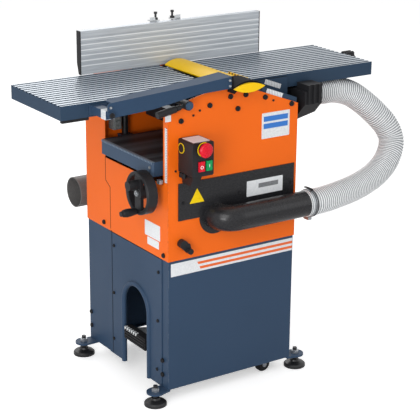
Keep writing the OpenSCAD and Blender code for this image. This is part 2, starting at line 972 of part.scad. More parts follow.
// Loop round two wheels, as a belt or chain lies
module loop(x0, z0, r0, x1, z1, r1, thick) {
    difference() {
        hull() {
            translate([x0, z0])
                circle(r0 + loop_gap + thick);
            translate([x1, z1])
                circle(r1 + loop_gap + thick);
        }
        hull() {
            translate([x0, z0])
                circle(r0 + loop_gap);
            translate([x1, z1])
                circle(r1 + loop_gap);
        }
    }
}

module drive_belt() {
    color(black)
        along_y(pulley_y + 2, pulley_y + pulley_w - 2)
            loop(0, motor_z, motor_pulley_r, 0, cutter_z, cutter_pulley_r, belt_t);
}

// Feed

module feed_roller(x, flutes, sprocket_y) {
    half = cut_w / 2 - 2;
    difference() {
        rod_y_axis(x, roller_z, roller_r, -half, half);
        for (i = [0:1:flutes - 1])
            translate([x, 0, roller_z])
                rotate([0, i * 360 / max(flutes, 1), 0])
                    box(-1.2, 1.2, -half - 1, half + 1, roller_r - 1.5, roller_r + 1);
    }
    rod_y_axis(x, roller_z, roller_pin_r, -frame_back + 2, sprocket_y);
    rod_y_axis(x, roller_z, sprocket_r, sprocket_y, sprocket_y + chain_w);
}

module infeed_roller() {
    color(steel)
        feed_roller(-roller_x, 18, chain_y[0]);
}

module outfeed_roller() {
    color(steel)
        feed_roller(roller_x, 0, chain_y[1]);
}

// Row of fingers that hang on their rod and trail towards the cutter
module kickback_fingers() {
    finger_t = 8;
    step = 14;
    reach = 140;
    hub_r = rod_r + 5;
    color(steel)
        for (y = [-reach:step:reach])
            difference() {
                union() {
                    rod_y_axis(rod_x, rod_z, hub_r, y - finger_t / 2, y + finger_t / 2);
                    along_y(y - finger_t / 2, y + finger_t / 2)
                        polygon([[rod_x - hub_r + 2, rod_z - 4], [rod_x + hub_r - 1, rod_z - 4],
                            [rod_x + 15, rod_z - 30], [rod_x + 6, rod_z - 33]]);
                }
                rod_y_axis(rod_x, rod_z, rod_r + run_gap, y - finger_t, y + finger_t);
            }
}

// Closed feed gear case in the rear compartment: the chains run up out of its top
module feed_gearbox() {
    color(slate)
        difference() {
            along_y(frame_back, frame_back + case_y)
                polygon([[in_l, lever_z - 30], [lever_x + 30, lever_z - 30], [lever_x + 30, 690],
                    [case_x + 45, 690], [case_x + 45, case_top], [in_l, case_top]]);
            rod_y_axis(lever_x, lever_z, lever_r + run_gap, frame_back - 1, frame_back + 24);
        }
}

module feed_chains() {
    chain_t = 3.5;
    color(steel)
        intersection() {
            union() {
                along_y(chain_y[0], chain_y[0] + chain_w)
                    loop(case_x, case_wheel_z, sprocket_r, -roller_x, roller_z, sprocket_r, chain_t);
                along_y(chain_y[1], chain_y[1] + chain_w)
                    loop(case_x, case_wheel_z, sprocket_r, roller_x, roller_z, sprocket_r, chain_t);
            }
            box(-cab_w, cab_w, frame_back, in_b, case_top, table_top);
        }
}

// Bent lever on the front panel, on a long shaft to the gear case
module feed_lever() {
    hub_r = 13;
    color(black) {
        rod_y_axis(lever_x, lever_z, lever_r, cab_f - 12, frame_back + 20);
        rod_y_axis(lever_x, lever_z, hub_r, cab_f - 20, cab_f - 1);
        along_y(cab_f - 20, cab_f - 8)
            polygon([[lever_x - 2, lever_z + 13], [lever_x + 21, lever_z - 1], [lever_x + 26, lever_z - 20],
                [lever_x + 9, lever_z - 26], [lever_x - 8, lever_z - 10]]);
        rod_y_axis(lever_x + 17, lever_z - 22, 9, cab_f - 32, cab_f - 8);
    }
}

// Planing tables

// Grooved top plate with side walls, ribs below and a shallow stretch over the feed rollers
module table_body(x_in, x_out) {
    x0 = min(x_in, x_out);
    x1 = max(x_in, x_out);
    side = sign(x_out);
    end0 = side > 0 ? x1 - wall_t : x0;
    deep0 = side > 0 ? scallop_x : x0;
    deep1 = side > 0 ? x1 : -scallop_x;
    difference() {
        box(x0, x1, -half_w, half_w, table_top - plate_t, table_top);
        for (i = [0:groove_n - 1])
            box(x0 - 1, x1 + 1, (i + 0.5) * groove_pitch - half_w - groove_w / 2,
                (i + 0.5) * groove_pitch - half_w + groove_w / 2, table_top - groove_d, table_top + 1);
    }
    for (y0 = [-half_w, half_w - wall_t]) {
        box(deep0, deep1, y0, y0 + wall_t, table_low, table_top - groove_d);
        box(x0, x1, y0, y0 + wall_t, scallop_z, table_top - groove_d);
    }
    box(end0, end0 + wall_t, -half_w, half_w, table_low, table_top - groove_d);
    for (x = [180, 300, 430])
        box(min(side * x, side * (x + wall_t)), max(side * x, side * (x + wall_t)), -half_w, half_w,
            table_low + 8, table_top - groove_d);
}

// Lug behind the outfeed table: a tunnel in which the fence's slide bar runs
module fence_lug() {
    neck_z = ledge_z + 18;
    x0 = slide_x - lug_w / 2;
    x1 = slide_x + lug_w / 2;
    lug_top = slide_z + slide_t + 9;
    difference() {
        union() {
            box(x0, x1, half_w - 1, frame_back - 2, neck_z, table_top);
            box(x0, x1, hinge_y + hinge_r + 7, lug_back, crest_z + 1, lug_top);
        }
        box(slide_x - slide_w / 2 - slide_gap, slide_x + slide_w / 2 + slide_gap, half_w, lug_back + 1,
            slide_z - slide_gap, slide_z + slide_t + slide_gap);
    }
}

module left_table() {
    ear_x0 = -122;
    ear_x1 = -60;
    color(alu) {
        table_body(-mouth_x, -table_reach);
        for (y0 = [-frame_back + lap_gap, half_w - 1])
            box(ear_x0, ear_x1, y0, y0 + frame_back - half_w + 1 - lap_gap, ledge_z, scallop_z + 2);
        fence_lug();
    }
}

// Inclined way bar with the skirt that joins it to the table's side
module way_bar(y0, y1, skirt0, skirt1) {
    rise = way_h / cos(way_angle);
    x1 = in_r - 1;
    along_y(y0, y1)
        polygon([[way_start, way(way_start) + way_gap], [x1, way(x1) + way_gap],
            [x1, way(x1) + rise], [way_start, way(way_start) + rise]]);
    along_y(skirt0, skirt1)
        polygon([[way_start, way(way_start) + way_gap], [x1, way(x1) + way_gap],
            [x1, table_top - 6], [way_start, table_top - 6]]);
}

module right_table() {
    skirt = 7;
    color(alu)
        difference() {
            union() {
                table_body(mouth_x, table_reach);
                way_bar(lap_gap - frame_back, -half_w - 1, -half_w - skirt, -half_w + 1);
                way_bar(half_w + 1, frame_back - lap_gap, half_w - 1, half_w + skirt);
                rod_x_axis(knob_y, knob_z, knob_pin_r + 8, table_reach - wall_t - 12, table_reach);
            }
            rod_x_axis(knob_y, knob_z, knob_pin_r + run_gap, table_reach - wall_t - 13, table_reach + 1);
        }
}

// Lobed knob on the end of the infeed table's depth screw
module depth_knob() {
    lobes = 6;
    knob_x = table_reach + knob_neck;
    color(black) {
        rod_x_axis(knob_y, knob_z, knob_pin_r, table_reach - wall_t - 10, knob_x + 1);
        rod_x_axis(knob_y, knob_z, knob_r * 0.5, knob_x - 8, knob_x + 1);
        difference() {
            rod_x_axis(knob_y, knob_z, knob_r, knob_x, knob_x + knob_len);
            for (i = [0:lobes - 1])
                rod_x_axis(knob_y + knob_r * 1.15 * cos(i * 360 / lobes + 30),
                    knob_z + knob_r * 1.15 * sin(i * 360 / lobes + 30), knob_r * 0.36,
                    knob_x - 1, knob_x + knob_len + 1);
        }
    }
}

// Clamp lever in front of the panel: hub, collar and grip, with a rod back to the outfeed table
module table_clamp() {
    hub_r = 14;
    tilt = 10.3;
    hub_y0 = cab_f - 26;
    y_mid = cab_f - 13;
    color(black) {
        rod_y_axis(clamp_x, clamp_z, hub_r, hub_y0, cab_f - 0.3);
        rod_y_axis(clamp_x, clamp_z, clamp_r, cab_f - 1, -half_w - 0.3);
        translate([clamp_x, y_mid, clamp_z])
            rotate([0, -90 - tilt, 0]) {
                cylinder(r = 6, h = 46);
                translate([0, 0, 24])
                    cylinder(r = 8, h = 12);
                translate([0, 0, 40])
                    cylinder(r = 10.5, h = 62);
            }
    }
}

// Fence

// Aluminium section: grooved face, hollow back, chamfer at the rear of its foot
module fence_section() {
    skin = 5;
    chamfer = 10;
    groove_step = 16.2;
    difference() {
        polygon([[fence_face, fence_z], [fence_face + fence_t - chamfer, fence_z],
            [fence_face + fence_t, fence_z + 35], [fence_face + fence_t, fence_z + fence_h],
            [fence_face, fence_z + fence_h]]);
        for (i = [0:5])
            translate([fence_face - 1, fence_z + fence_h - 24 - i * groove_step])
                square([2.5, 3]);
        for (z0 = [fence_z + 42, fence_z + 88])
            translate([fence_face + skin, z0])
                square([fence_t - 2 * skin + 2, 40]);
    }
}

module fence() {
    lug_t = 12;
    color(alu)
        difference() {
            union() {
                along_x(fence_x - fence_len / 2, fence_x + fence_len / 2)
                    fence_section();
                for (x = [slide_x - slide_w / 2 - 3 - lug_t, slide_x + slide_w / 2 + 3]) {
                    box(x, x + lug_t, fence_face + fence_t - 9, hinge_y, hinge_z - hinge_r - 5,
                        hinge_z + hinge_r + 5);
                    rod_x_axis(hinge_y, hinge_z, hinge_r + 5, x, x + lug_t);
                }
            }
            rod_x_axis(hinge_y, hinge_z, hinge_r + run_gap, slide_x - lug_w, slide_x + lug_w);
        }
}

module fence_caps() {
    cap_t = 3;
    color(black)
        for (x = [fence_x - fence_len / 2 - cap_t, fence_x + fence_len / 2])
            along_x(x, x + cap_t)
                polygon([[fence_face, fence_z], [fence_face + fence_t - 10, fence_z],
                    [fence_face + fence_t, fence_z + 35], [fence_face + fence_t, fence_z + fence_h],
                    [fence_face, fence_z + fence_h]]);
}

// Slide bar that carries the fence's tilt pin
module fence_carriage() {
    pin_half = slide_w / 2 + 14;
    color(steel) {
        box(slide_x - slide_w / 2, slide_x + slide_w / 2, hinge_y - hinge_r, hinge_y + slide_len,
            slide_z, slide_z + slide_t);
        box(slide_x - slide_w / 2, slide_x + slide_w / 2, hinge_y - hinge_r, hinge_y + hinge_r,
            slide_z, hinge_z + hinge_r);
        rod_x_axis(hinge_y, hinge_z, hinge_r, slide_x - pin_half, slide_x + pin_half);
    }
}

// Guard

// Folded arm before the front panel, rising to the guard plate's holder, with a tapered top flange
module guard_arm() {
    left_x = pivot_x - 10;
    right_x = guard_x - guard_w / 2 - 4;
    top_l = pivot_z + 34;
    knee_x = pivot_x + 297;
    knee_z = guard_z + 26;
    top_r = guard_z + 35;
    low_x = pivot_x + 140;
    low_z = pivot_z - 2;
    start_x = left_x + 22;
    color(slate)
        difference() {
            union() {
                along_y(arm_y, arm_y + arm_t)
                    polygon([[left_x, top_l - 6], [left_x, pivot_z - 4], [left_x + 6, pivot_z - 10],
                        [low_x, low_z], [knee_x, guard_z - 4], [right_x, guard_z - 1], [right_x, top_r],
                        [knee_x, knee_z], [left_x + 6, top_l]]);
                intersection() {
                    along_y(arm_y, arm_y + arm_flange_end)
                        polygon([[left_x + 6, top_l - arm_t], [knee_x, knee_z - arm_t],
                            [right_x, top_r - arm_t], [right_x, top_r], [knee_x, knee_z],
                            [left_x + 6, top_l]]);
                    linear_extrude(2 * table_top)
                        polygon([[start_x - 8, arm_y], [right_x, arm_y], [right_x, arm_y + arm_flange_end],
                            [knee_x, arm_y + arm_flange_end - 10], [start_x, arm_y + arm_flange],
                            [start_x - 8, arm_y + arm_flange - 10]]);
                }
            }
            rod_y_axis(pivot_x, pivot_z, pivot_r + run_gap, arm_y - 1, arm_y + arm_flange);
        }
}

// Bracket on the outfeed table's side that carries the arm's pivot pin
module guard_bracket() {
    foot_t = 4;
    foot_over = 18;
    half = 14;
    color(steel) {
        box(pivot_x - half - 9, pivot_x + half + foot_over, -half_w - foot_t, -half_w, pivot_z - 14,
            pivot_z + 14);
        box(pivot_x - half, pivot_x + half, arm_y + arm_t + 0.5, -half_w, pivot_z - 12, pivot_z + 12);
        rod_y_axis(pivot_x, pivot_z, pivot_r, arm_y - 3, -half_w);
        rod_y_axis(pivot_x, pivot_z, pivot_r + 4, arm_y - 8, arm_y - 0.5);
    }
}

// Stretch of an arched strip across the guard plate, between two radii
module arched(r0, r1, half) {
    intersection() {
        translate([guard_x, guard_cz])
            difference() {
                circle(r1, $fn = 120);
                circle(r0, $fn = 120);
            }
        translate([guard_x - half, guard_z - 20])
            square([2 * half, 60]);
    }
}

// Arched holder at the arm's end, in which the guard plate slides, astride the front panel
module guard_holder() {
    wall = 6;
    half = guard_w / 2 + 4;
    slide = 0.4;
    astride = 1.2;
    cheek_t = 3.4;
    color(black)
        difference() {
            union() {
                along_y(holder_y0, holder_y1)
                    difference() {
                        arched(guard_r - guard_t - wall, guard_r + wall, half);
                        arched(guard_r - guard_t - slide, guard_r + slide, guard_w / 2 + slide);
                    }
                box(guard_x - half, guard_x - half + cheek_t, arm_y - 4, arm_y + arm_flange_end - 2,
                    guard_z - 4, guard_z + 34);
            }
            box(guard_x - half - 1, guard_x + half + 1, cab_f - astride, in_f + astride, guard_z - 30,
                crest_z + astride);
        }
}

// Guard plate: arched strip, with a lens-shaped cap on its front end
module guard_plate() {
    cap_half = 55;
    cap_rise = 14;
    cap_r = (cap_half * cap_half + cap_rise * cap_rise) / (2 * cap_rise);
    color(yellow) {
        along_y(guard_front, guard_back)
            arched(guard_r - guard_t, guard_r, guard_w / 2);
        along_y(guard_front, guard_front + cap_t)
            intersection() {
                translate([guard_x, guard_z + cap_rise - cap_r])
                    circle(cap_r, $fn = 180);
                translate([guard_x, guard_z - cap_rise + cap_r])
                    circle(cap_r, $fn = 180);
            }
    }
}

// Controls

switch_front = cab_f - switch_d;
button_x = [switch_x - 7, switch_x + 19];
button_w = 20;
button_h = 30;
button_z = switch_z + 31;
mushroom_z = switch_z + 82;
mushroom_x = switch_x - 1;
neck_h = 35;
stem_r = 9;

// Switch box with wells for its buttons and a neck down to the duct's plate
module switch_box() {
    corner = 5;
    color(black)
        difference() {
            union() {
                translate([switch_x - switch_w / 2 + corner, 0, 0])
                    along_y(switch_front, cab_f) {
                        translate([-corner, switch_z + corner])
                            square([switch_w, switch_h - 2 * corner]);
                        translate([0, switch_z])
                            square([switch_w - 2 * corner, switch_h]);
                        for (x = [0, switch_w - 2 * corner])
                            for (z = [switch_z + corner, switch_z + switch_h - corner])
                                translate([x, z])
                                    circle(corner);
                    }
                rod_y_axis(mushroom_x, mushroom_z, mushroom_r - 4, switch_front - 3, switch_front);
                along_x(switch_x - 23, switch_x + 7)
                    polygon([[cab_f, switch_z - neck_h], [cab_f, switch_z + 1],
                        [switch_front + 14, switch_z + 1], [switch_front + 32, switch_z - neck_h]]);
            }
            for (x = button_x)
                box(x - button_w / 2 - 0.4, x + button_w / 2 + 0.4, switch_front - 1, switch_front + 12,
                    button_z - button_h / 2 - 0.4, button_z + button_h / 2 + 0.4);
            rod_y_axis(mushroom_x, mushroom_z, stem_r + run_gap, switch_front - 4, switch_front + 20);
        }
}

module stop_mushroom() {
    head = 16;
    stand = 11;
    color("#D81E3C") {
        rod_y_axis(mushroom_x, mushroom_z, stem_r, switch_front - stand, switch_front + 10);
        translate([mushroom_x, switch_front - stand, mushroom_z])
            rotate([90, 0, 0])
                rotate_extrude()
                    polygon([[0, 0], [mushroom_r - 3, 0], [mushroom_r, 3], [mushroom_r, 8],
                        [mushroom_r - 4, 12], [mushroom_r - 10, head - 1], [0, head]]);
    }
}

module push_button(x) {
    box(x - button_w / 2, x + button_w / 2, switch_front - 5, switch_front + 5,
        button_z - button_h / 2, button_z + button_h / 2);
}

module stop_button() {
    color("#D81E3C")
        push_button(button_x[0]);
}

module start_button() {
    color("#109A58")
        push_button(button_x[1]);
}

// Extraction

// Quarter bend of pipe in a level plane: starts at the origin towards -Y and ends towards +X
module bend(bend_r, r) {
    translate([bend_r, 0, 0])
        rotate([0, 0, 180])
            rotate_extrude(angle = 90)
                translate([bend_r, 0])
                    circle(r);
}

// Front duct: backing plate with a lobe round the elbow, elbow and pipe with a hose spigot
module front_duct() {
    plate_l = cab_l + 34;
    plate_r = cab_r - 10;
    plate_z0 = duct_z + 5;
    plate_z1 = switch_z - neck_h - 2;
    lobe_r = duct_r + 16;
    plate_t3 = 3;
    color(black)
        difference() {
            union() {
                along_y(cab_f - plate_t3, cab_f) {
                    translate([plate_l, plate_z0])
                        square([plate_r - plate_l, plate_z1 - plate_z0]);
                    translate([duct_x, duct_z])
                        circle(lobe_r);
                }
                rod_y_axis(duct_x, duct_z, duct_r, cab_f - plate_t3, in_f);
                translate([duct_x, cab_f - plate_t3, duct_z])
                    bend(duct_bend, duct_r);
                rod_x_axis(duct_y, duct_z, duct_r, duct_x + duct_bend, duct_end);
                rod_x_axis(duct_y, duct_z, spigot_r, duct_end, duct_end + spigot_len);
            }
            rod_y_axis(duct_x, duct_z, duct_r - duct_t, cab_f - plate_t3, in_f + 1);
            translate([duct_x, cab_f - plate_t3, duct_z])
                bend(duct_bend, duct_r - duct_t);
            rod_x_axis(duct_y, duct_z, duct_r - duct_t, duct_x + duct_bend, duct_end - 4);
            rod_x_axis(duct_y, duct_z, spigot_r - duct_t, duct_end - 5, duct_end + spigot_len + 1);
        }
}

// Frame of the pipe through the cabinet: starts behind the front panel and falls to the rear
module through_frame() {
    translate([duct_x, in_f, duct_z])
        rotate([-through_fall, 0, 0])
            children();
}

outlet_z = duct_z - (cab_b - in_f) * tan(through_fall);
outlet_run = cab_l - 6;

// Rear duct: pipe through the cabinet, flange on the rear panel, elbow and open outlet towards -X
module rear_duct() {
    pipe_len = (cab_b + outlet_neck / 2 - in_f) / cos(through_fall);
    pipe_front = 2 + through_r * tan(through_fall);
    flange_r = outlet_r + 8;
    flange_t = 5;
    bend_y = cab_b + outlet_neck;
    bend_x = duct_x - outlet_bend;
    color(black)
        difference() {
            union() {
                through_frame()
                    translate([0, pipe_front, 0])
                        rotate([-90, 0, 0])
                            cylinder(r = through_r, h = pipe_len - pipe_front);
                rod_y_axis(duct_x, outlet_z, flange_r, cab_b, cab_b + flange_t);
                rod_y_axis(duct_x, outlet_z, outlet_r, cab_b, bend_y);
                translate([duct_x, bend_y, outlet_z])
                    rotate([0, 0, 180])
                        bend(outlet_bend, outlet_r);
                rod_x_axis(bend_y + outlet_bend, outlet_z, outlet_r, outlet_run, bend_x);
            }
            through_frame()
                rotate([-90, 0, 0])
                    cylinder(r = through_r - duct_t, h = pipe_len);
            rod_y_axis(duct_x, outlet_z, outlet_r - duct_t, cab_b + flange_t, bend_y);
            translate([duct_x, bend_y, outlet_z])
                rotate([0, 0, 180])
                    bend(outlet_bend, outlet_r - duct_t);
            rod_x_axis(bend_y + outlet_bend, outlet_z, outlet_r - duct_t, outlet_run - 1, bend_x);
        }
}

// Chip hood in the throat: open above where the cutter throws its chips, closed over its tail
module chip_hood() {
    half = rise_w / 2 - 4;
    mouth_half = 58;
    x1 = roller_x + 46;
    tail_x = adapter_x0;
    tail_y0 = throat_f + 5;
    tail_y1 = port_y1;
    color(black)
        difference() {
            union() {
                box(hood_x0, x1, -half, half, hood_z0, hood_z1);
                translate([0, 0, hood_z0])
                    linear_extrude(port_z - hood_z0)
                        polygon([[x1 - 1, -half], [cab_r - 20, tail_y0], [tail_x, tail_y0],
                            [tail_x, tail_y1], [x1 - 1, half]]);
            }
            box(hood_x0 + hood_wall, x1, hood_wall - half, half - hood_wall, hood_z0 + hood_wall,
                hood_z1 - hood_wall);
            box(hood_x0 + hood_wall, mouth_half, hood_wall - half, half - hood_wall, hood_z0 + hood_wall,
                hood_z1 + 1);
            translate([0, 0, hood_z0 + hood_wall])
                linear_extrude(port_z - hood_z0 - 2 * hood_wall)
                    polygon([[x1 - 2, hood_wall - half], [cab_r - 20, tail_y0 + hood_wall],
                        [tail_x + 1, tail_y0 + hood_wall], [tail_x + 1, tail_y1 - hood_wall],
                        [x1 - 2, half - hood_wall]]);
        }
}

// Ribbed adapter from the hood's square tail to the round hose, its underside falling to the rear
module hose_adapter() {
    y0 = throat_f - adapter_out;
    y1 = port_y1;
    z0 = hood_z0;
    z1 = table_low - 6;
    body_x1 = adapter_x1 - 4;
    floor_rise = 26;
    brow_z = z0 + 62;
    brow_y = y0 + 53;
    collar_y1 = -half_w - 8;
    collar_z1 = table_low + 14;
    rib_w = 6;
    rib_out = 5;
    in_t = 5;
    color(black)
        difference() {
            union() {
                difference() {
                    along_y(y0, y1)
                        polygon([[adapter_x0, z0], [body_x1, z0 + floor_rise], [body_x1, z1],
                            [adapter_x0, z1]]);
                    along_x(adapter_x0 - 1, body_x1 + 1)
                        polygon([[y0 - 1, z0 - 1], [brow_y, z0 - 1], [brow_y, z0 + 4], [y0, brow_z],
                            [y0 - 1, brow_z]]);
                }
                for (x = [adapter_x0 + 10:20:body_x1 - rib_w])
                    box(x, x + rib_w, y0 - rib_out, y0 + 1, brow_z, collar_z1);
                box(adapter_x0 + 10, body_x1, y0, collar_y1, z1 - 1, collar_z1);
                rod_x_axis(hose_end_y, hose_end_z, duct_r, body_x1 - 1, adapter_x1);
                rod_x_axis(hose_end_y, hose_end_z, spigot_r, adapter_x1 - 1, adapter_x1 + spigot_len);
            }
            box(adapter_x0 - 1, adapter_x0 + 8, throat_f + 8, y1 - hood_wall, z0 + 8, port_z - hood_wall);
            difference() {
                along_y(y0 + hood_wall, y1 - hood_wall)
                    polygon([[adapter_x0 + hood_wall, z0 + 6], [body_x1 - 4, z0 + floor_rise + 4],
                        [body_x1 - 4, z1 - hood_wall], [adapter_x0 + hood_wall, z1 - hood_wall]]);
                along_x(adapter_x0, body_x1)
                    polygon([[y0 - 1, z0 - 1], [brow_y + in_t, z0 - 1], [brow_y + in_t, z0 + 6],
                        [y0, brow_z + in_t], [y0 - 1, brow_z + in_t]]);
            }
            rod_x_axis(hose_end_y, hose_end_z, spigot_r - duct_t, body_x1 - 8, adapter_x1 + spigot_len + 1);
        }
}

// Hose: a smooth curve through its route, sampled closely, then ringed by length
function blend4(a, b, c, d, t) = 0.5 * (2 * b + (c - a) * t + (2 * a - 5 * b + 4 * c - d) * t * t
    + (3 * b - a - 3 * c + d) * t * t * t);
function route_at(i) = hose_route[max(0, min(len(hose_route) - 1, i))];
curve = [for (i = [0:len(hose_route) - 2])
    for (k = [0:9])
        blend4(route_at(i - 1), route_at(i), route_at(i + 1), route_at(i + 2), k / 10),
    route_at(len(hose_route) - 1)];
function step_at(i) = i > 0 && i < len(curve) ? norm(curve[i] - curve[i - 1]) : 0;
run = [for (i = 0, s = 0; i < len(curve); i = i + 1, s = s + step_at(i)) s];
hose_len = run[len(run) - 1];
curve_x = [for (i = [0:len(curve) - 1]) [run[i], curve[i][0]]];
curve_y = [for (i = [0:len(curve) - 1]) [run[i], curve[i][1]]];
curve_z = [for (i = [0:len(curve) - 1]) [run[i], curve[i][2]]];
function hose_at(s) = [lookup(s, curve_x), lookup(s, curve_y), lookup(s, curve_z)];
function unit(v) = v / norm(v);
function hose_way(s) = unit(hose_at(min(s + 4, hose_len)) - hose_at(max(s - 4, 0)));
function ring(s, r) = let (t = hose_way(s), u = unit(cross(t, [0, 1, 0])), v = cross(t, u))
    [for (k = [0:hose_n - 1]) hose_at(s) + r * (cos(k * 360 / hose_n) * u + sin(k * 360 / hose_n) * v)];

module dust_hose() {
    rings = 2 * rib_n;
    bores = floor(rib_n / 2);
    out_s = [for (i = [0:rings]) i * hose_len / rings];
    in_s = [for (i = [0:bores]) i * hose_len / bores];
    outer = [for (i = [0:rings]) each ring(out_s[i], i % 2 == 0 ? hose_r - rib_d : hose_r)];
    inner = [for (s = in_s) each ring(s, hose_bore_r)];
    first = len(outer);
    last_out = rings * hose_n;
    last_in = first + bores * hose_n;
    faces = [
        for (i = [0:rings - 1])
            for (k = [0:hose_n - 1])
                let (a = i * hose_n + k, b = i * hose_n + (k + 1) % hose_n)
                    each [[a, b, b + hose_n], [a, b + hose_n, a + hose_n]],
        for (i = [0:bores - 1])
            for (k = [0:hose_n - 1])
                let (a = first + i * hose_n + k, b = first + i * hose_n + (k + 1) % hose_n)
                    each [[a, b + hose_n, b], [a, a + hose_n, b + hose_n]],
        for (k = [0:hose_n - 1])
            let (j = (k + 1) % hose_n)
                each [[k, first + j, j], [k, first + k, first + j],
                    [last_out + k, last_out + j, last_in + j], [last_out + k, last_in + j, last_in + k]]];
    color(white)
        polyhedron(concat(outer, inner), faces);
}

// Worm drive clamps round the hose's two ends
module hose_clamps() {
    band_w = 12;
    band_t = 1.5;
    inner_r = hose_r + 0.3;
    color(steel)
        for (end = [[duct_end + 8, duct_y, duct_z], [adapter_x1 + 8, hose_end_y, hose_end_z]]) {
            difference() {
                rod_x_axis(end[1], end[2], inner_r + band_t, end[0], end[0] + band_w);
                rod_x_axis(end[1], end[2], inner_r, end[0] - 1, end[0] + band_w + 1);
            }
            box(end[0] - 1, end[0] + band_w + 1, end[1] - 12, end[1] + 12, end[2] - inner_r - 10,
                end[2] - inner_r - 0.5);
        }
}

place() base_front();
place() base_rear();
place() base_left();
place() base_right();
place() deck_plate();
place() foot_brackets();
place() levelling_feet();
place() pedal_arms();
place() pedal_tread();
place() wheel_front();
place() wheel_rear();
place() body_front();
place() body_rear();
place() body_left();
place() drive_side_cover();
place() body_right();
place() front_frame();
place() rear_frame();
place() cross_bars();
place() guide_posts();
place() lift_gearbox();
place() lift_screw();
place() handwheel_shaft();
place() handwheel();
place() handwheel_grip();
place() thicknesser_table();
place() cutter_block();
place() cutter_knives();
place() cutter_bearings();
place() cutter_pulley();
place() motor();
place() motor_pulley();
place() drive_belt();
place() infeed_roller();
place() outfeed_roller();
place() kickback_fingers();
place() feed_gearbox();
place() feed_chains();
place() feed_lever();
place() left_table();
place() right_table();
place() depth_knob();
place() table_clamp();
place() fence();
place() fence_caps();
place() fence_carriage();
place() guard_arm();
place() guard_bracket();
place() guard_holder();
place() guard_plate();
place() switch_box();
place() stop_mushroom();
place() start_button();
place() stop_button();
place() front_duct();
place() rear_duct();
place() chip_hood();
place() hose_adapter();
place() dust_hose();
place() hose_clamps();
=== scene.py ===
import math

import bmesh
import bpy
from mathutils import Matrix, Vector


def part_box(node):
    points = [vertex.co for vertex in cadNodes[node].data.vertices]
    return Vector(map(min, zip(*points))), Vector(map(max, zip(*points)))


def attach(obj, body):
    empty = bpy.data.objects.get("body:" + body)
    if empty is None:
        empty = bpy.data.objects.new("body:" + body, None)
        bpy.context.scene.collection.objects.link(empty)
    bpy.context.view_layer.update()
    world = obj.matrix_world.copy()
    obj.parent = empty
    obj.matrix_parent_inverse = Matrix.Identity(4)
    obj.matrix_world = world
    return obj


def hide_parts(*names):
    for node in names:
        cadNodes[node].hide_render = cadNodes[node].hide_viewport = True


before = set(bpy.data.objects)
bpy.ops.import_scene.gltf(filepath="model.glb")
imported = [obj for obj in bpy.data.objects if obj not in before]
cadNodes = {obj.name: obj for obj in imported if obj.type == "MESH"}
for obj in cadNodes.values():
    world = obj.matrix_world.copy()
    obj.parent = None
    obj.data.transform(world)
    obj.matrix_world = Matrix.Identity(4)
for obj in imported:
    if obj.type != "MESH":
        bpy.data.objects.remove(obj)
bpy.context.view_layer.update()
originShift = Vector((-0.036, -0.0515, 0.0))  # from the cutter's axis to the model's origin


def at(x, y, z):  # millimetres from the cutter's line, as the source counts them
    return Vector((x, y, z)) * 0.001 + originShift


# camera

cameraSet = {
    "place": (-2321.1, -3516.9, 1931.9),
    "yaw": 33.95,
    "pitch": 18.43,
    "roll": 0.58,
    "lens": 120.0,
    "sensor": 36.0,
}


def addCamera(settings):
    yaw, pitch, roll = (math.radians(settings[k]) for k in ("yaw", "pitch", "roll"))
    level = math.cos(pitch)
    forward = Vector((math.sin(yaw) * level, math.cos(yaw) * level, -math.sin(pitch)))
    right = Vector((math.cos(yaw), -math.sin(yaw), 0.0))
    up = right.cross(forward)
    turnedRight = math.cos(roll) * right + math.sin(roll) * up
    turnedUp = math.cos(roll) * up - math.sin(roll) * right
    pose = Matrix((turnedRight, turnedUp, -forward)).transposed().to_4x4()
    pose.translation = at(*settings["place"])
    data = bpy.data.cameras.new("photoCamera")
    data.lens = settings["lens"]
    data.sensor_width = settings["sensor"]
    camera = bpy.data.objects.new("photoCamera", data)
    camera.matrix_world = pose
    bpy.context.scene.collection.objects.link(camera)
    bpy.context.scene.camera = camera


addCamera(cameraSet)
print("camera placed")


# shader groups

def newGroup(name, inputs, outputs):
    group = bpy.data.node_groups.new(name, "ShaderNodeTree")
    for label, kind, value in inputs:
        socket = group.interface.new_socket(label, in_out="INPUT", socket_type="NodeSocket" + kind)
        if value is not None:
            socket.default_value = value
    for label, kind in outputs:
        group.interface.new_socket(label, in_out="OUTPUT", socket_type="NodeSocket" + kind)
    return group, group.nodes.new("NodeGroupInput").outputs, group.nodes.new("NodeGroupOutput")


def fill(tree, made, links):  # each input gets a link from a socket, or a plain value
    for key, source in links.items():
        if isinstance(source, bpy.types.NodeSocket):
            tree.links.new(source, made.inputs[key])
        else:
            made.inputs[key].default_value = source
    return made


def addNode(tree, kind, links=None, **values):
    made = tree.nodes.new("ShaderNode" + kind)
    for key, value in values.items():
        setattr(made, key, value)
    return fill(tree, made, links or {})


def placeGroup(tree, group, links):
    made = tree.nodes.new("ShaderNodeGroup")
    made.node_tree = group
    return fill(tree, made, links).outputs


def maths(tree, operation, a, b=0.0, clamp=False):
    return addNode(tree, "Math", {0: a, 1: b}, operation=operation, use_clamp=clamp).outputs[0]


def times(tree, a, b):
    return maths(tree, "MULTIPLY", a, b)


def noise(tree, **links):
    return addNode(tree, "TexNoise", links).outputs["Fac"]


def axesOf(tree, source):  # X, Y and Z of a vector
    return addNode(tree, "SeparateXYZ", {0: source}).outputs


def ramp(tree, source, low, high):  # 0 at low, 1 at high, smooth between
    step = addNode(tree, "MapRange", {"Value": source, "From Min": low, "From Max": high},
                   interpolation_type="SMOOTHSTEP")
    return step.outputs["Result"]


def mixColour(tree, mask, a, b):  # a where the mask is 0, b where it is 1
    made = addNode(tree, "Mix", data_type="RGBA")
    for key, source in (("Factor_Float", mask), ("A_Color", a), ("B_Color", b)):
        socket = next(s for s in made.inputs if s.identifier == key)
        if isinstance(source, bpy.types.NodeSocket):
            tree.links.new(source, socket)
        else:
            socket.default_value = source
    return next(s for s in made.outputs if s.identifier == "Result_Color")


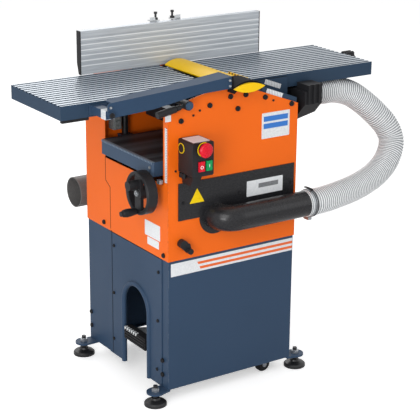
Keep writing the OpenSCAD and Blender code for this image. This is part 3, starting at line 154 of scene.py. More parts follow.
def makePaintSkin():  # powder coat: slow change of shade, fine orange peel
    group, ins, outs = newGroup(
        "paintSkin",
        [("Vector", "Vector", None), ("Colour", "Color", (0.5, 0.5, 0.5, 1)), ("Variation", "Float", 0.1),
         ("Roughness", "Float", 0.4), ("Peel", "Float", 900.0)],
        [("Colour", "Color"), ("Roughness", "Float"), ("Height", "Float")])
    place = ins["Vector"]
    slow = noise(group, Vector=place, Scale=3.5, Detail=4.0)
    fine = noise(group, Vector=place, Scale=ins["Peel"], Detail=2.0)
    darker = addNode(group, "HueSaturation", {"Value": 0.72, "Color": ins["Colour"]}).outputs[0]
    amount = times(group, ramp(group, slow, 0.42, 0.75), ins["Variation"])
    smear = times(group, ramp(group, slow, 0.3, 0.7), 0.1)
    fill(group, outs, {"Colour": mixColour(group, amount, ins["Colour"], darker),
                       "Roughness": maths(group, "ADD", smear, ins["Roughness"]), "Height": fine})
    return group


def makeEdgeWear():  # rubbed spots along the edges of a piece's own box
    group, ins, outs = newGroup(
        "edgeWear",
        [("Vector", "Vector", None), ("Low", "Vector", None), ("High", "Vector", None),
         ("Width", "Float", 0.006), ("Amount", "Float", 0.5)],
        [("Mask", "Float")])
    place = ins["Vector"]
    fromLow = addNode(group, "VectorMath", {0: place, 1: ins["Low"]}, operation="SUBTRACT")
    fromHigh = addNode(group, "VectorMath", {0: ins["High"], 1: place}, operation="SUBTRACT")
    ends = {0: fromLow.outputs[0], 1: fromHigh.outputs[0]}
    nearest = addNode(group, "VectorMath", ends, operation="MINIMUM")
    x, y, z = axesOf(group, nearest.outputs[0])
    pairs = [maths(group, "MAXIMUM", a, b) for a, b in ((x, y), (y, z), (x, z))]
    edge = maths(group, "MINIMUM", maths(group, "MINIMUM", pairs[0], pairs[1]), pairs[2])
    band = maths(group, "SUBTRACT", 1.0, maths(group, "DIVIDE", edge, ins["Width"]), clamp=True)
    chips = noise(group, Vector=place, Scale=90.0, Detail=6.0, Roughness=0.65)
    raised = maths(group, "ADD", chips, times(group, band, 0.25))
    spots = ramp(group, raised, 0.68, 0.8)
    share = times(group, band, ins["Amount"])
    fill(group, outs, {"Mask": times(group, spots, share)})
    return group


def makeDustFall():  # pale wood dust on faces that look up
    group, ins, outs = newGroup(
        "dustFall",
        [("Vector", "Vector", None), ("Normal", "Vector", None), ("Amount", "Float", 0.2)],
        [("Mask", "Float")])
    up = axesOf(group, ins["Normal"])[2]
    cloud = noise(group, Vector=ins["Vector"], Scale=22.0, Detail=7.0, Roughness=0.7)
    lying = times(group, ramp(group, up, 0.55, 0.95), ramp(group, cloud, 0.4, 0.7))
    fill(group, outs, {"Mask": times(group, lying, ins["Amount"])})
    return group


def makeGrain():  # fine noise stretched along one way: brushing, milling or moulding marks
    group, ins, outs = newGroup(
        "surfaceGrain",
        [("Vector", "Vector", None), ("Stretch", "Vector", (1.0, 1.0, 1.0)), ("Scale", "Float", 300.0),
         ("Dark", "Color", (0.4, 0.4, 0.4, 1)), ("Light", "Color", (0.6, 0.6, 0.6, 1))],
        [("Colour", "Color"), ("Mask", "Float"), ("Height", "Float")])
    pulled = addNode(group, "VectorMath", {0: ins["Vector"], 1: ins["Stretch"]}, operation="MULTIPLY")
    fine = noise(group, Vector=pulled.outputs[0], Scale=ins["Scale"], Detail=5.0)
    mask = ramp(group, fine, 0.3, 0.7)
    tone = mixColour(group, mask, ins["Dark"], ins["Light"])
    fill(group, outs, {"Colour": tone, "Mask": mask, "Height": fine})
    return group


def makeRows():  # even rows along one value: 1 inside each row's share
    group, ins, outs = newGroup(
        "evenRows",
        [("Along", "Float", 0.0), ("Start", "Float", 0.0), ("Pitch", "Float", 0.01),
         ("Share", "Float", 0.3), ("Soft", "Float", 0.04)],
        [("Mask", "Float")])
    run = maths(group, "DIVIDE", maths(group, "SUBTRACT", ins["Along"], ins["Start"]), ins["Pitch"])
    saw = maths(group, "FRACT", run)
    into = maths(group, "DIVIDE", saw, ins["Soft"], clamp=True)
    left = maths(group, "DIVIDE", maths(group, "SUBTRACT", ins["Share"], saw), ins["Soft"], clamp=True)
    fill(group, outs, {"Mask": times(group, into, left)})
    return group


paintSkin = makePaintSkin()
edgeWear = makeEdgeWear()
dustFall = makeDustFall()
surfaceGrain = makeGrain()
evenRows = makeRows()
print("shader groups built")


# materials

def colour(text):  # screen hex to linear
    parts = [int(text[i:i + 2], 16) / 255 for i in (0, 2, 4)]
    return tuple(c / 12.92 if c <= 0.04045 else ((c + 0.055) / 1.055) ** 2.4 for c in parts) + (1.0,)


dustColour = colour("C9B79A")


def startMaterial(name, roundness=0.0012):
    material = bpy.data.materials.new(name)
    material.use_nodes = True
    tree = material.node_tree
    shader = tree.nodes["Principled BSDF"]
    coords = addNode(tree, "TexCoord").outputs
    soft = addNode(tree, "Bevel", {"Radius": roundness}, samples=4).outputs[0]  # soft edges on sharp solids
    return material, tree, shader, coords, soft


def addBump(tree, shader, height, soft, strength, distance):
    bump = addNode(tree, "Bump", {"Strength": strength, "Distance": distance, "Height": height,
                                  "Normal": soft})
    fill(tree, shader, {"Normal": bump.outputs[0]})


def sumOf(tree, mask, share, start):  # start + share * mask
    return maths(tree, "ADD", times(tree, mask, share), start)


def grainOf(tree, coords, settings):
    return placeGroup(tree, surfaceGrain, {
        "Vector": coords["Object"], "Stretch": settings.get("stretch", (1, 1, 1)),
        "Scale": settings["scale"], "Dark": colour(settings["dark"]), "Light": colour(settings["light"])})


def paintedMetal(name, settings, box):
    material, tree, shader, coords, soft = startMaterial(name)
    place = coords["Object"]
    skin = placeGroup(tree, paintSkin, {"Vector": place, "Colour": colour(settings["colour"]),
                                        "Variation": settings["variation"],
                                        "Roughness": settings["roughness"]})
    worn = placeGroup(tree, edgeWear, {"Vector": place, "Low": box[0], "High": box[1],
                                       "Width": settings["wearWidth"], "Amount": settings["wear"]})
    dust = placeGroup(tree, dustFall, {"Vector": place, "Normal": coords["Normal"],
                                       "Amount": settings["dust"]})
    rubbed = mixColour(tree, worn["Mask"], skin["Colour"], colour(settings["under"]))
    fill(tree, shader, {"Base Color": mixColour(tree, dust["Mask"], rubbed, dustColour),
                        "Roughness": skin["Roughness"], "Specular IOR Level": settings["sheen"]})
    addBump(tree, shader, skin["Height"], soft, strength=0.1, distance=0.0004)
    return material


def plainMetal(name, settings):
    material, tree, shader, coords, soft = startMaterial(name, roundness=0.0006)
    grain = grainOf(tree, coords, settings)
    fill(tree, shader, {"Base Color": grain["Colour"], "Metallic": settings["metallic"],
                        "Roughness": sumOf(tree, grain["Mask"], 0.18, settings["roughness"])})
    addBump(tree, shader, grain["Height"], soft, strength=0.1, distance=0.0002)
    return material


def mouldedPlastic(name, settings):
    material, tree, shader, coords, soft = startMaterial(name, settings.get("roundness", 0.0012))
    grain = grainOf(tree, coords, settings)
    dust = placeGroup(tree, dustFall, {"Vector": coords["Object"], "Normal": coords["Normal"],
                                       "Amount": settings.get("dust", 0.0)})
    tone = mixColour(tree, dust["Mask"], grain["Colour"], dustColour)
    fill(tree, shader, {"Base Color": tone, "Specular IOR Level": settings.get("sheen", 0.2),
                        "Roughness": sumOf(tree, grain["Mask"], 0.1, settings["roughness"])})
    addBump(tree, shader, grain["Height"], soft, strength=settings["bump"], distance=0.0003)
    return material


orangeSet = {"colour": "F26A10", "under": "8A4A22", "variation": 0.1, "wear": 0.3, "wearWidth": 0.004,
             "dust": 0.05, "roughness": 0.36, "sheen": 0.2}
slateSet = {"colour": "30455E", "under": "7C868F", "variation": 0.2, "wear": 0.3, "wearWidth": 0.004,
            "dust": 0.04, "roughness": 0.38, "sheen": 0.2}
yellowSet = {"colour": "F8C800", "under": "A08A3A", "variation": 0.08, "wear": 0.15, "wearWidth": 0.003,
             "dust": 0.02, "roughness": 0.34, "sheen": 0.25}
zincSet = {"dark": "8E9296", "light": "B4B8BC", "scale": 420.0, "metallic": 0.85, "roughness": 0.32}
groundSet = {"dark": "70747A", "light": "A8ACB2", "stretch": (1, 0.06, 1), "scale": 500.0, "metallic": 1.0,
             "roughness": 0.26}
blackSteelSet = {"dark": "18181A", "light": "28282B", "scale": 500.0, "metallic": 0.4, "roughness": 0.34}
blackSet = {"dark": "1C1C1E", "light": "29292C", "scale": 700.0, "dust": 0.03, "roughness": 0.36,
            "bump": 0.15}
ductBlackSet = {"dark": "1C1C1E", "light": "28282B", "scale": 500.0, "dust": 0.02, "roughness": 0.2,
                "bump": 0.06, "sheen": 0.3}
gripSet = {"dark": "161618", "light": "242427", "scale": 900.0, "roughness": 0.46, "bump": 0.3}
matteSet = dict(gripSet, sheen=0.04, roughness=0.6)
rubberSet = {"dark": "141415", "light": "222224", "scale": 400.0, "dust": 0.03, "roughness": 0.66,
             "bump": 0.3}
redSet = {"dark": "CC1024", "light": "DA1C32", "scale": 300.0, "roughness": 0.24, "bump": 0.03}
greenSet = {"dark": "0C8C4C", "light": "149E58", "scale": 300.0, "roughness": 0.26, "bump": 0.03}
labelSet = {"dark": "DDE0E3", "light": "E8EAEC", "scale": 200.0, "roughness": 0.4, "bump": 0.02,
            "roundness": 0.0003}
markSet = {"dark": "F0F0F0", "light": "FAFAFA", "scale": 200.0, "roughness": 0.4, "bump": 0.02,
           "roundness": 0.0002}
darkLabelSet = {"dark": "727477", "light": "85888A", "scale": 260.0, "roughness": 0.4, "bump": 0.03,
                "roundness": 0.0003}
signYellowSet = {"dark": "E8C400", "light": "F4D00A", "scale": 200.0, "roughness": 0.36, "bump": 0.02,
                 "roundness": 0.0003}
# painted shade: dark colour for strips where the panels' gaps fall in shadow
seamShadeSet = {"dark": "5A2408", "light": "6E2E0C", "scale": 200.0, "roughness": 0.6, "bump": 0.05,
           "roundness": 0.0002}
# painted shadow: dark slate for the strip beside the base's proud end panel
baseShadowSet = dict(seamShadeSet, dark="141D28", light="1C2734")
ductGreySet = {"dark": "5C5A59", "light": "6E6C6B", "scale": 500.0, "roughness": 0.4, "bump": 0.1}
slateCapSet = {"dark": "2C4058", "light": "3A5068", "scale": 300.0, "roughness": 0.36, "bump": 0.05}
# painted highlight: lit ends of the bed's ribs
toothHighlightSet = dict(slateCapSet, dark="76869A", light="8A99AA")
smokeSet = {"dark": "6A6E6E", "light": "868A8A", "scale": 160.0, "roughness": 0.36, "bump": 0.1}
paleSet = {"dark": "C4C8CB", "light": "D8DBDD", "scale": 200.0, "roughness": 0.42, "bump": 0.05}

castingSet = {"landTop": 0.9708, "grooveFloor": 0.96, "halfWidth": 0.1545, "paint": "2E4156",
              "variation": 0.22, "floor": "0E141B", "dark": "A4ACB4", "light": "BCC3CA",
              "stretch": (0.012, 1.0, 1.0), "scale": 500.0, "metallic": 0.6, "roughness": 0.46,
              "sheen": 0.15}


def tableCasting(name, settings):  # painted casting whose planed lands are bright metal
    material, tree, shader, coords, soft = startMaterial(name, roundness=0.0008)
    place = coords["Object"]
    spots = axesOf(tree, place)
    up = axesOf(tree, coords["Normal"])[2]
    skin = placeGroup(tree, paintSkin, {"Vector": place, "Colour": colour(settings["paint"]),
                                        "Variation": settings["variation"]})
    milled = grainOf(tree, coords, settings)
    level = ramp(tree, up, 0.5, 0.9)
    high = ramp(tree, spots["Z"], settings["landTop"], settings["landTop"] + 0.0008)
    across = maths(tree, "ABSOLUTE", maths(tree, "SUBTRACT", spots["Y"], originShift.y))
    inside = maths(tree, "LESS_THAN", across, settings["halfWidth"])
    bright = times(tree, times(tree, high, inside), level)
    floorUp = ramp(tree, spots["Z"], settings["grooveFloor"], settings["grooveFloor"] + 0.0005)
    groove = times(tree, floorUp, level)
    base = mixColour(tree, groove, skin["Colour"], colour(settings["floor"]))
    fill(tree, shader, {"Base Color": mixColour(tree, bright, base, milled["Colour"]),
                        "Metallic": times(tree, bright, settings["metallic"]),
                        "Roughness": sumOf(tree, bright, -0.08, settings["roughness"]),
                        "Specular IOR Level": settings["sheen"]})
    addBump(tree, shader, milled["Height"], soft, strength=0.1, distance=0.0003)
    return material


riseSet = {"top": 0.7624, "edge": 0.009, "paint": "3C5068", "variation": 0.22, "lip": "8C98A4",
           "dark": "1A1B1E", "light": "5A5D62", "stretch": (0.02, 1.0, 1.0), "scale": 24.0,
           "roughness": 0.42, "sheen": 0.2}


def riseCasting(name, settings, left):  # slate sides with a painted highlight on the lip's top face, dark polished bed with ways worn along X
    material, tree, shader, coords, soft = startMaterial(name)
    place = coords["Object"]
    spots = axesOf(tree, place)
    skin = placeGroup(tree, paintSkin, {"Vector": place, "Colour": colour(settings["paint"]),
                                        "Variation": settings["variation"]})
    lanes = grainOf(tree, coords, settings)
    top = ramp(tree, spots["Z"], settings["top"], settings["top"] + 0.0004)
    inner = ramp(tree, spots["X"], left + settings["edge"], left + settings["edge"] + 0.0005)
    bed = times(tree, top, inner)
    # painted highlight: the lip's top face is lighter than the slate sides
    lip = mixColour(tree, top, skin["Colour"], colour(settings["lip"]))
    fill(tree, shader, {"Base Color": mixColour(tree, bed, lip, lanes["Colour"]),
                        "Roughness": sumOf(tree, bed, 0.08, settings["roughness"]),
                        "Specular IOR Level": settings["sheen"]})
    addBump(tree, shader, lanes["Height"], soft, strength=0.15, distance=0.0006)
    return material


fenceSet = {"dark": "B2B8BF", "light": "CCD1D6", "stretch": (0.02, 1.0, 1.0), "scale": 420.0,
            "groove": 1.002, "pitch": 0.0162, "rows": (0.9965, 1.0925), "glint": "F0F3F5", "shade": "969DA5",
            "shadeShare": 0.35, "metallic": 0.35, "roughness": 0.36}


def fenceProfile(name, settings):  # drawn aluminium: a glint under each groove, a soft shade above it
    material, tree, shader, coords, soft = startMaterial(name, roundness=0.0006)
    z = axesOf(tree, coords["Object"])[2]
    grain = grainOf(tree, coords, settings)
    glint = placeGroup(tree, evenRows, {"Along": z, "Start": settings["groove"] - 0.004, "Share": 0.26,
                                        "Pitch": settings["pitch"], "Soft": 0.08})
    shade = placeGroup(tree, evenRows, {"Along": z, "Start": settings["groove"] + 0.0028, "Share": 0.34,
                                        "Pitch": settings["pitch"], "Soft": 0.16})
    low, high = settings["rows"]
    within = times(tree, maths(tree, "GREATER_THAN", z, low), maths(tree, "LESS_THAN", z, high))
    dim = times(tree, times(tree, shade["Mask"], within), settings["shadeShare"])
    shaded = mixColour(tree, dim, grain["Colour"], colour(settings["shade"]))
    bright = times(tree, glint["Mask"], within)
    fill(tree, shader, {"Base Color": mixColour(tree, bright, shaded, colour(settings["glint"])),
                        "Metallic": settings["metallic"],
                        "Roughness": sumOf(tree, grain["Mask"], 0.14, settings["roughness"])})
    addBump(tree, shader, grain["Height"], soft, strength=0.08, distance=0.0003)
    return material


footSet = {"dark": "121214", "light": "202023", "scale": 350.0, "steel": "B4B8BC", "nut": (0.045, 0.0552),
           "metallic": 0.8, "roughness": 0.42}


def footFinish(name, settings):  # black pad and stud, bright top nut
    material, tree, shader, coords, soft = startMaterial(name)
    z = axesOf(tree, coords["Object"])[2]
    grain = grainOf(tree, coords, settings)
    low, high = settings["nut"]
    nut = times(tree, ramp(tree, z, low - 0.001, low), ramp(tree, z, high + 0.001, high))
    tone = mixColour(tree, nut, grain["Colour"], colour(settings["steel"]))
    fill(tree, shader, {"Base Color": tone, "Metallic": times(tree, nut, settings["metallic"]),
                        "Roughness": sumOf(tree, nut, -0.1, settings["roughness"])})
    addBump(tree, shader, grain["Height"], soft, strength=0.15, distance=0.0003)
    return material


def stripedPlate(name, settings):  # pale plate, plain stripes stacked along one axis, cut off across another
    material, tree, shader, coords, soft = startMaterial(name, roundness=0.0002)
    spots = axesOf(tree, coords["Object"])
    grain = grainOf(tree, coords, settings)
    along = spots[settings["axis"]]
    rows = placeGroup(tree, evenRows, {"Along": along, "Start": settings["start"],
                                       "Pitch": settings["pitch"], "Share": settings["share"]})
    lean = maths(tree, "ADD", spots[settings["across"]], times(tree, along, settings["lean"]))
    between = times(tree, maths(tree, "GREATER_THAN", lean, settings["left"]),
                    maths(tree, "LESS_THAN", lean, settings["right"]))
    limit = times(tree, maths(tree, "LESS_THAN", along, settings["end"]),
                  maths(tree, "GREATER_THAN", along, settings["start"]))
    mask = times(tree, rows["Mask"], times(tree, between, limit))
    tone = mixColour(tree, mask, grain["Colour"], colour(settings["stripe"]))
    fill(tree, shader, {"Base Color": tone, "Roughness": settings["roughness"]})
    addBump(tree, shader, grain["Height"], soft, strength=0.02, distance=0.0002)
    return material


paperSet = {"dark": "D8DBDE", "light": "E6E8EA", "scale": 240.0, "roughness": 0.4}
bandSet = dict(paperSet, stripe="E8641E", axis=2, start=0.4215, end=0.449, pitch=0.016, share=0.56, across=0,
               lean=0.5, left=0.048, right=0.408)
noticeSet = dict(paperSet, stripe="2C74C8", axis=2, start=0.827, end=0.868, pitch=0.0225, share=0.76,
                 across=0, lean=0.0, left=0.0595, right=0.1505)
tickSet = dict(paperSet, stripe="3A3D42", axis=2, start=0.7, end=0.95, pitch=0.005, share=0.28, across=1,
               lean=0.0, left=-0.2575, right=-0.2505)
depthSet = dict(paperSet, stripe="8A8E94", axis=0, start=0.02, end=0.3, pitch=0.006, share=0.25, across=2,
                lean=0.38, left=0.9, right=1.2)
hazardSet = {"pitch": 0.015, "share": 0.45, "dark": "E4B604", "light": "F2C40A", "scale": 240.0,
             "black": "1C1C1E", "roughness": 0.38}


def hazardStripes(name, settings):  # slanting black stripes on yellow
    material, tree, shader, coords, soft = startMaterial(name, roundness=0.0003)
    spots = axesOf(tree, coords["Object"])
    grain = grainOf(tree, coords, settings)
    rows = placeGroup(tree, evenRows, {"Along": maths(tree, "ADD", spots["X"], spots["Y"]),
                                       "Pitch": settings["pitch"], "Share": settings["share"]})
    tone = mixColour(tree, rows["Mask"], grain["Colour"], colour(settings["black"]))
    fill(tree, shader, {"Base Color": tone, "Roughness": settings["roughness"]})
    addBump(tree, shader, grain["Height"], soft, strength=0.02, distance=0.0002)
    return material


# the crest colour is a painted highlight on the ribs
hoseSet = {"dark": "84888D", "light": "9EA2A6", "scale": 180.0, "crest": "EFF1F2", "roughness": 0.4,
           "film": 0.12, "filmDepth": (0.006, 0.006, 0.006)}


def hosePlastic(name, settings):  # milky film, with a painted highlight on each rib's crest and grey between the ribs that is partly the film's own tone and partly painted shade, read from the hose's own run
    material, tree, shader, coords, soft = startMaterial(name, roundness=0.0003)
    run = addNode(tree, "Attribute", attribute_name="ribRun").outputs["Fac"]
    wave = maths(tree, "COSINE", times(tree, run, 2 * math.pi))
    # painted highlight on the rib crests; the grey between them is partly painted shade
    crest = ramp(tree, wave, -0.7, 0.7)
    grain = grainOf(tree, coords, settings)
    tone = mixColour(tree, crest, grain["Colour"], colour(settings["crest"]))
    fill(tree, shader, {"Base Color": tone, "Roughness": sumOf(tree, crest, -0.1, settings["roughness"]),
                        "Subsurface Weight": settings["film"], "Subsurface Radius": settings["filmDepth"]})
    addBump(tree, shader, grain["Height"], soft, strength=0.05, distance=0.0003)
    return material


zincSteel = plainMetal("zincSteel", zincSet)
groundSteel = plainMetal("groundSteel", groundSet)
blackSteel = plainMetal("blackSteel", blackSteelSet)
blackPlastic = mouldedPlastic("blackPlastic", blackSet)
ductBlack = mouldedPlastic("ductBlack", ductBlackSet)
matteBlack = mouldedPlastic("matteBlack", matteSet)
gripPlastic = mouldedPlastic("gripPlastic", gripSet)
blackRubber = mouldedPlastic("blackRubber", rubberSet)
redPlastic = mouldedPlastic("redPlastic", redSet)
greenPlastic = mouldedPlastic("greenPlastic", greenSet)
plateWhite = mouldedPlastic("plateWhite", labelSet)
markWhite = mouldedPlastic("markWhite", markSet)
plateGrey = mouldedPlastic("plateGrey", darkLabelSet)
signYellow = mouldedPlastic("signYellow", signYellowSet)
slateCap = mouldedPlastic("slateCap", slateCapSet)
toothHighlight = mouldedPlastic("toothHighlight", toothHighlightSet)
smokePlastic = mouldedPlastic("smokePlastic", smokeSet)
seamShade = mouldedPlastic("seamShade", seamShadeSet)
baseShade = mouldedPlastic("baseShade", baseShadowSet)
ductGrey = mouldedPlastic("ductGrey", ductGreySet)
palePlastic = mouldedPlastic("palePlastic", paleSet)
hoseFilm = hosePlastic("hoseFilm", hoseSet)
fenceAluminium = fenceProfile("fenceAluminium", fenceSet)
castTable = tableCasting("castTable", castingSet)
castBed = riseCasting("castBed", riseSet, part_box("thicknesser_table")[0][0])
footBlack = footFinish("footBlack", footSet)
bandStripes = stripedPlate("bandStripes", bandSet)
noticeRows = stripedPlate("noticeRows", noticeSet)
tickWhite = stripedPlate("tickWhite", tickSet)
depthWhite = stripedPlate("depthWhite", depthSet)
hazardTape = hazardStripes("hazardTape", hazardSet)

nodeFinish = {
    fenceAluminium: ["fence"],
    castTable: ["left_table", "right_table"],
    castBed: ["thicknesser_table"],
    footBlack: ["levelling_feet"],
    zincSteel: ["deck_plate", "cross_bars", "fence_carriage", "hose_clamps", "kickback_fingers",
                "feed_chains"],
    groundSteel: ["lift_screw", "handwheel_shaft", "cutter_block", "cutter_knives", "cutter_bearings",
                  "cutter_pulley", "motor_pulley", "infeed_roller", "outfeed_roller", "pedal_arms"],
    blackSteel: ["guide_posts"],
    blackPlastic: ["handwheel", "fence_caps", "switch_box", "chip_hood", "depth_knob", "feed_lever",
                   "table_clamp"],
    ductBlack: ["front_duct"],
    ductGrey: ["rear_duct"],
    matteBlack: ["guard_holder"],
    gripPlastic: ["handwheel_grip", "pedal_tread", "hose_adapter"],
    blackRubber: ["wheel_front", "wheel_rear", "drive_belt"],
    redPlastic: ["stop_mushroom", "stop_button"],
    greenPlastic: ["start_button"],
}
paintedNodes = {
    "orange": ["body_front", "body_rear", "body_left", "drive_side_cover", "body_right", "front_frame",
               "rear_frame"],
    "slate": ["base_front", "base_rear", "base_left", "base_right", "foot_brackets", "lift_gearbox",
              "motor", "feed_gearbox", "guard_bracket"],
    "arm": ["guard_arm"],
    "yellow": ["guard_plate"],
}
paintSets = {"orange": orangeSet, "slate": slateSet, "yellow": yellowSet,
             "arm": dict(slateSet, sheen=0.12, roughness=0.48, dust=0.0)}


def dressNode(name, material):
    data = cadNodes[name].data
    data.materials.clear()
    data.materials.append(material)


for finish, names in nodeFinish.items():
    for name in names:
        dressNode(name, finish)
for paint, names in paintedNodes.items():
    for name in names:
        dressNode(name, paintedMetal(paint + "On_" + name, paintSets[paint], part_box(name)))
dressed = [name for names in (*nodeFinish.values(), *paintedNodes.values()) for name in names]
print("solids dressed:", len(dressed))


# mesh helpers: places in the source's millimetres, sizes in metres

toFront = (0, -1, 0)
toBack = (0, 1, 0)
toLeft = (-1, 0, 0)
toRight = (1, 0, 0)
toTop = (0, 0, 1)
toFloor = (0, 0, -1)
boltShape = {"taper": 0.9, "round": 0.35, "socket": 0.32, "sunk": 0.55}  # shares of radius or height


def finishPiece(name, bm, material, body, smooth=False):
    bmesh.ops.recalc_face_normals(bm, faces=bm.faces)
    for face in bm.faces:
        face.smooth = smooth
    data = bpy.data.meshes.new(name)
    bm.to_mesh(data)
    bm.free()
    data.materials.append(material)
    piece = bpy.data.objects.new(name, data)
    bpy.context.scene.collection.objects.link(piece)
    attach(piece, body)
    return piece


def facing(normal, spin=0.0):  # turns +Z to a normal
    turned = Vector(normal).normalized().to_track_quat("Z", "Y").to_matrix().to_4x4()
    return turned @ Matrix.Rotation(spin, 4, "Z")


def addBolt(bm, centre, normal, radius, height, sides):  # button head with a round socket
    pose = Matrix.Translation(at(*centre)) @ facing(normal)
    made = bmesh.ops.create_cone(bm, cap_ends=True, segments=sides, radius1=radius,
                                 radius2=radius * boltShape["taper"], depth=height,
                                 matrix=pose @ Matrix.Translation((0, 0, height / 2)))
    away = Vector(normal).normalized()
    start = at(*centre)
    faces = {f for v in made["verts"] for f in v.link_faces}
    cap = max(faces, key=lambda f: (f.calc_center_median() - start).dot(away))
    rim = bmesh.ops.bevel(bm, geom=list(cap.edges), offset=height * boltShape["round"], affect="EDGES",
                          segments=3, profile=0.5, material=-1)
    around = {f for r in rim["faces"] for v in r.verts for f in v.link_faces}
    top = max(around, key=lambda f: len(f.verts) * (f.calc_center_median() - start).dot(away))
    bmesh.ops.inset_region(bm, faces=[top], thickness=radius * boltShape["socket"])
    bmesh.ops.translate(bm, verts=list(top.verts), vec=-away * height * boltShape["sunk"])


def addDisc(bm, centre, normal, radius, height, sides, top=None):  # plain round, or a cone with a top radius
    pose = Matrix.Translation(at(*centre)) @ facing(normal) @ Matrix.Translation((0, 0, height / 2))
    bmesh.ops.create_cone(bm, cap_ends=True, segments=sides, radius1=radius,
                          radius2=radius if top is None else top, depth=height, matrix=pose)


def addPlate(bm, centre, normal, width, height, thick, corner, spin=0.0):  # flat plate with round corners
    pose = Matrix.Translation(at(*centre)) @ facing(normal, spin)
    made = bmesh.ops.create_cube(bm, size=1.0, matrix=pose @ Matrix.Translation((0, 0, thick / 2))
                                 @ Matrix.Diagonal((width, height, thick, 1)))
    away = Vector(normal).normalized()
    edges = {e for v in made["verts"] for e in v.link_edges}
    upright = [e for e in edges if abs((e.verts[0].co - e.verts[1].co).normalized().dot(away)) > 0.9]
    bmesh.ops.bevel(bm, geom=upright, offset=corner, affect="EDGES", segments=4, profile=0.5, material=-1)


def addBlock(bm, low, high, edge):  # box between two corners, its edges rounded
    a, b = at(*low), at(*high)
    pose = Matrix.Translation((a + b) / 2) @ Matrix.Diagonal((*(b - a), 1))
    made = bmesh.ops.create_cube(bm, size=1.0, matrix=pose)
    edges = list({e for v in made["verts"] for e in v.link_edges})
    bmesh.ops.bevel(bm, geom=edges, offset=edge, affect="EDGES", segments=3, profile=0.5, material=-1)


def addRing(bm, centre, normal, outer, inner, thick, sides=40):  # flat washer
    pose = Matrix.Translation(at(*centre)) @ facing(normal)
    made = bmesh.ops.create_circle(bm, cap_ends=True, segments=sides, radius=outer, matrix=pose)
    disc = made["verts"][0].link_faces[0]
    bmesh.ops.inset_region(bm, faces=[disc], thickness=outer - inner, use_boundary=True,
                           use_even_offset=True)
    bmesh.ops.delete(bm, geom=[disc], context="FACES_ONLY")
    band = list({f for v in made["verts"] for f in v.link_faces})
    grown = bmesh.ops.extrude_face_region(bm, geom=band)
    moved = [g for g in grown["geom"] if isinstance(g, bmesh.types.BMVert)]
    bmesh.ops.translate(bm, verts=moved, vec=Vector(normal).normalized() * thick)


def addWireRing(bm, centre, normal, radius, wire, sides=10, steps=56):  # round wire bent to a ring
    pose = Matrix.Translation(at(*centre)) @ facing(normal)
    upright = pose @ Matrix.Translation((radius, 0, 0)) @ Matrix.Rotation(math.pi / 2, 4, "X")
    made = bmesh.ops.create_circle(bm, segments=sides, radius=wire, matrix=upright)["verts"]
    ring = made + list({e for v in made for e in v.link_edges})
    bmesh.ops.spin(bm, geom=ring, cent=pose.translation, axis=Vector(normal).normalized(),
                   angle=2 * math.pi, steps=steps, use_merge=True)


def sweep(bm, spots, radii, sides, layer=None, runs=None, capped=True):  # rings grown along a line
    last = None
    for i, spot in enumerate(spots):
        ahead = (spots[min(i + 1, len(spots) - 1)] - spots[max(i - 1, 0)]).normalized()
        side = ahead.cross(Vector((0, 1, 0)) if abs(ahead.y) < 0.9 else Vector((1, 0, 0))).normalized()
        pose = Matrix((side, ahead.cross(side), ahead)).transposed().to_4x4()
        pose.translation = spot
        pose = pose @ Matrix.Diagonal((radii[i], radii[i], radii[i], 1))
        if last is None:
            verts = bmesh.ops.create_circle(bm, segments=sides, radius=1.0, matrix=pose)["verts"]
            edges = list({e for v in verts for e in v.link_edges})
            if capped:
                bmesh.ops.contextual_create(bm, geom=edges)
        else:
            grown = bmesh.ops.extrude_edge_only(bm, edges=edges)["geom"]
            verts = [g for g in grown if isinstance(g, bmesh.types.BMVert)]
            edges = [g for g in grown if isinstance(g, bmesh.types.BMEdge)]
            bmesh.ops.transform(bm, matrix=pose @ last.inverted(), verts=verts)
        if layer is not None:
            for vert in verts:
                vert[layer] = runs[i]
        last = pose
    if capped:
        bmesh.ops.contextual_create(bm, geom=edges)


# hose

hoseShape = {"radius": 0.042, "wall": 0.0016, "ribDepth": 0.0032, "pitch": 0.0078, "sides": 36,
             "stepsPerRib": 5, "curveSteps": 24, "pathEvery": 3}
hoseRoute = [(220.3, -265, 584), (244, -265, 584), (268, -265, 584), (312, -262, 585), (364, -255, 588),
             (421, -245, 592), (482, -233, 601), (547, -218, 619), (604, -200, 652), (638, -180, 703),
             (627, -162, 753), (594, -145, 795), (556, -130, 832), (506, -118, 867), (450, -112, 885),
             (397, -112, 888), (350, -112, 888), (316.3, -112, 888)]


def smoothRoute(points, steps):  # a smooth curve through the route, as in the source
    spots = [at(*p) for p in points]
    line = []
    for i in range(len(spots) - 1):
        a, b = spots[max(i - 1, 0)], spots[i]
        c, d = spots[i + 1], spots[min(i + 2, len(spots) - 1)]
        for k in range(steps):
            t = k / steps
            line.append(0.5 * (2 * b + (c - a) * t + (2 * a - 5 * b + 4 * c - d) * t ** 2
                               + (3 * b - a - 3 * c + d) * t ** 3))
    line.append(spots[-1])
    return line


def evenSteps(line, count):  # the same curve in equal steps of length
    run = [0.0]
    for a, b in zip(line, line[1:]):
        run.append(run[-1] + (b - a).length)
    spots, k = [], 0
    for i in range(count + 1):
        want = run[-1] * i / count
        while k < len(run) - 2 and run[k + 1] < want:
            k += 1
        spots.append(line[k].lerp(line[k + 1], (want - run[k]) / (run[k + 1] - run[k])))
    return spots, run[-1]


wireSet = {"x": (236, 242), "radius": 0.0432, "wire": 0.0017, "sides": 8,
           "tailShifts": (0, 5), "tailSteps": 6,
           "tail": [(239, -274, 627.5), (229, -279, 634), (215, -284, 641), (199, -288, 648)]}


def makeWire(settings, route):  # double wire clamp with its tail, on the hose's lower end
    bm = bmesh.new()
    for x in settings["x"]:
        addWireRing(bm, (x, *route[0][1:]), toRight, settings["radius"], settings["wire"])
    for shift in settings["tailShifts"]:
        line = smoothRoute([(x + shift, y, z) for x, y, z in settings["tail"]], settings["tailSteps"])
        sweep(bm, line, [settings["wire"]] * len(line), settings["sides"])
    return finishPiece("wireClamp", bm, blackSteel, "machine", smooth=True)


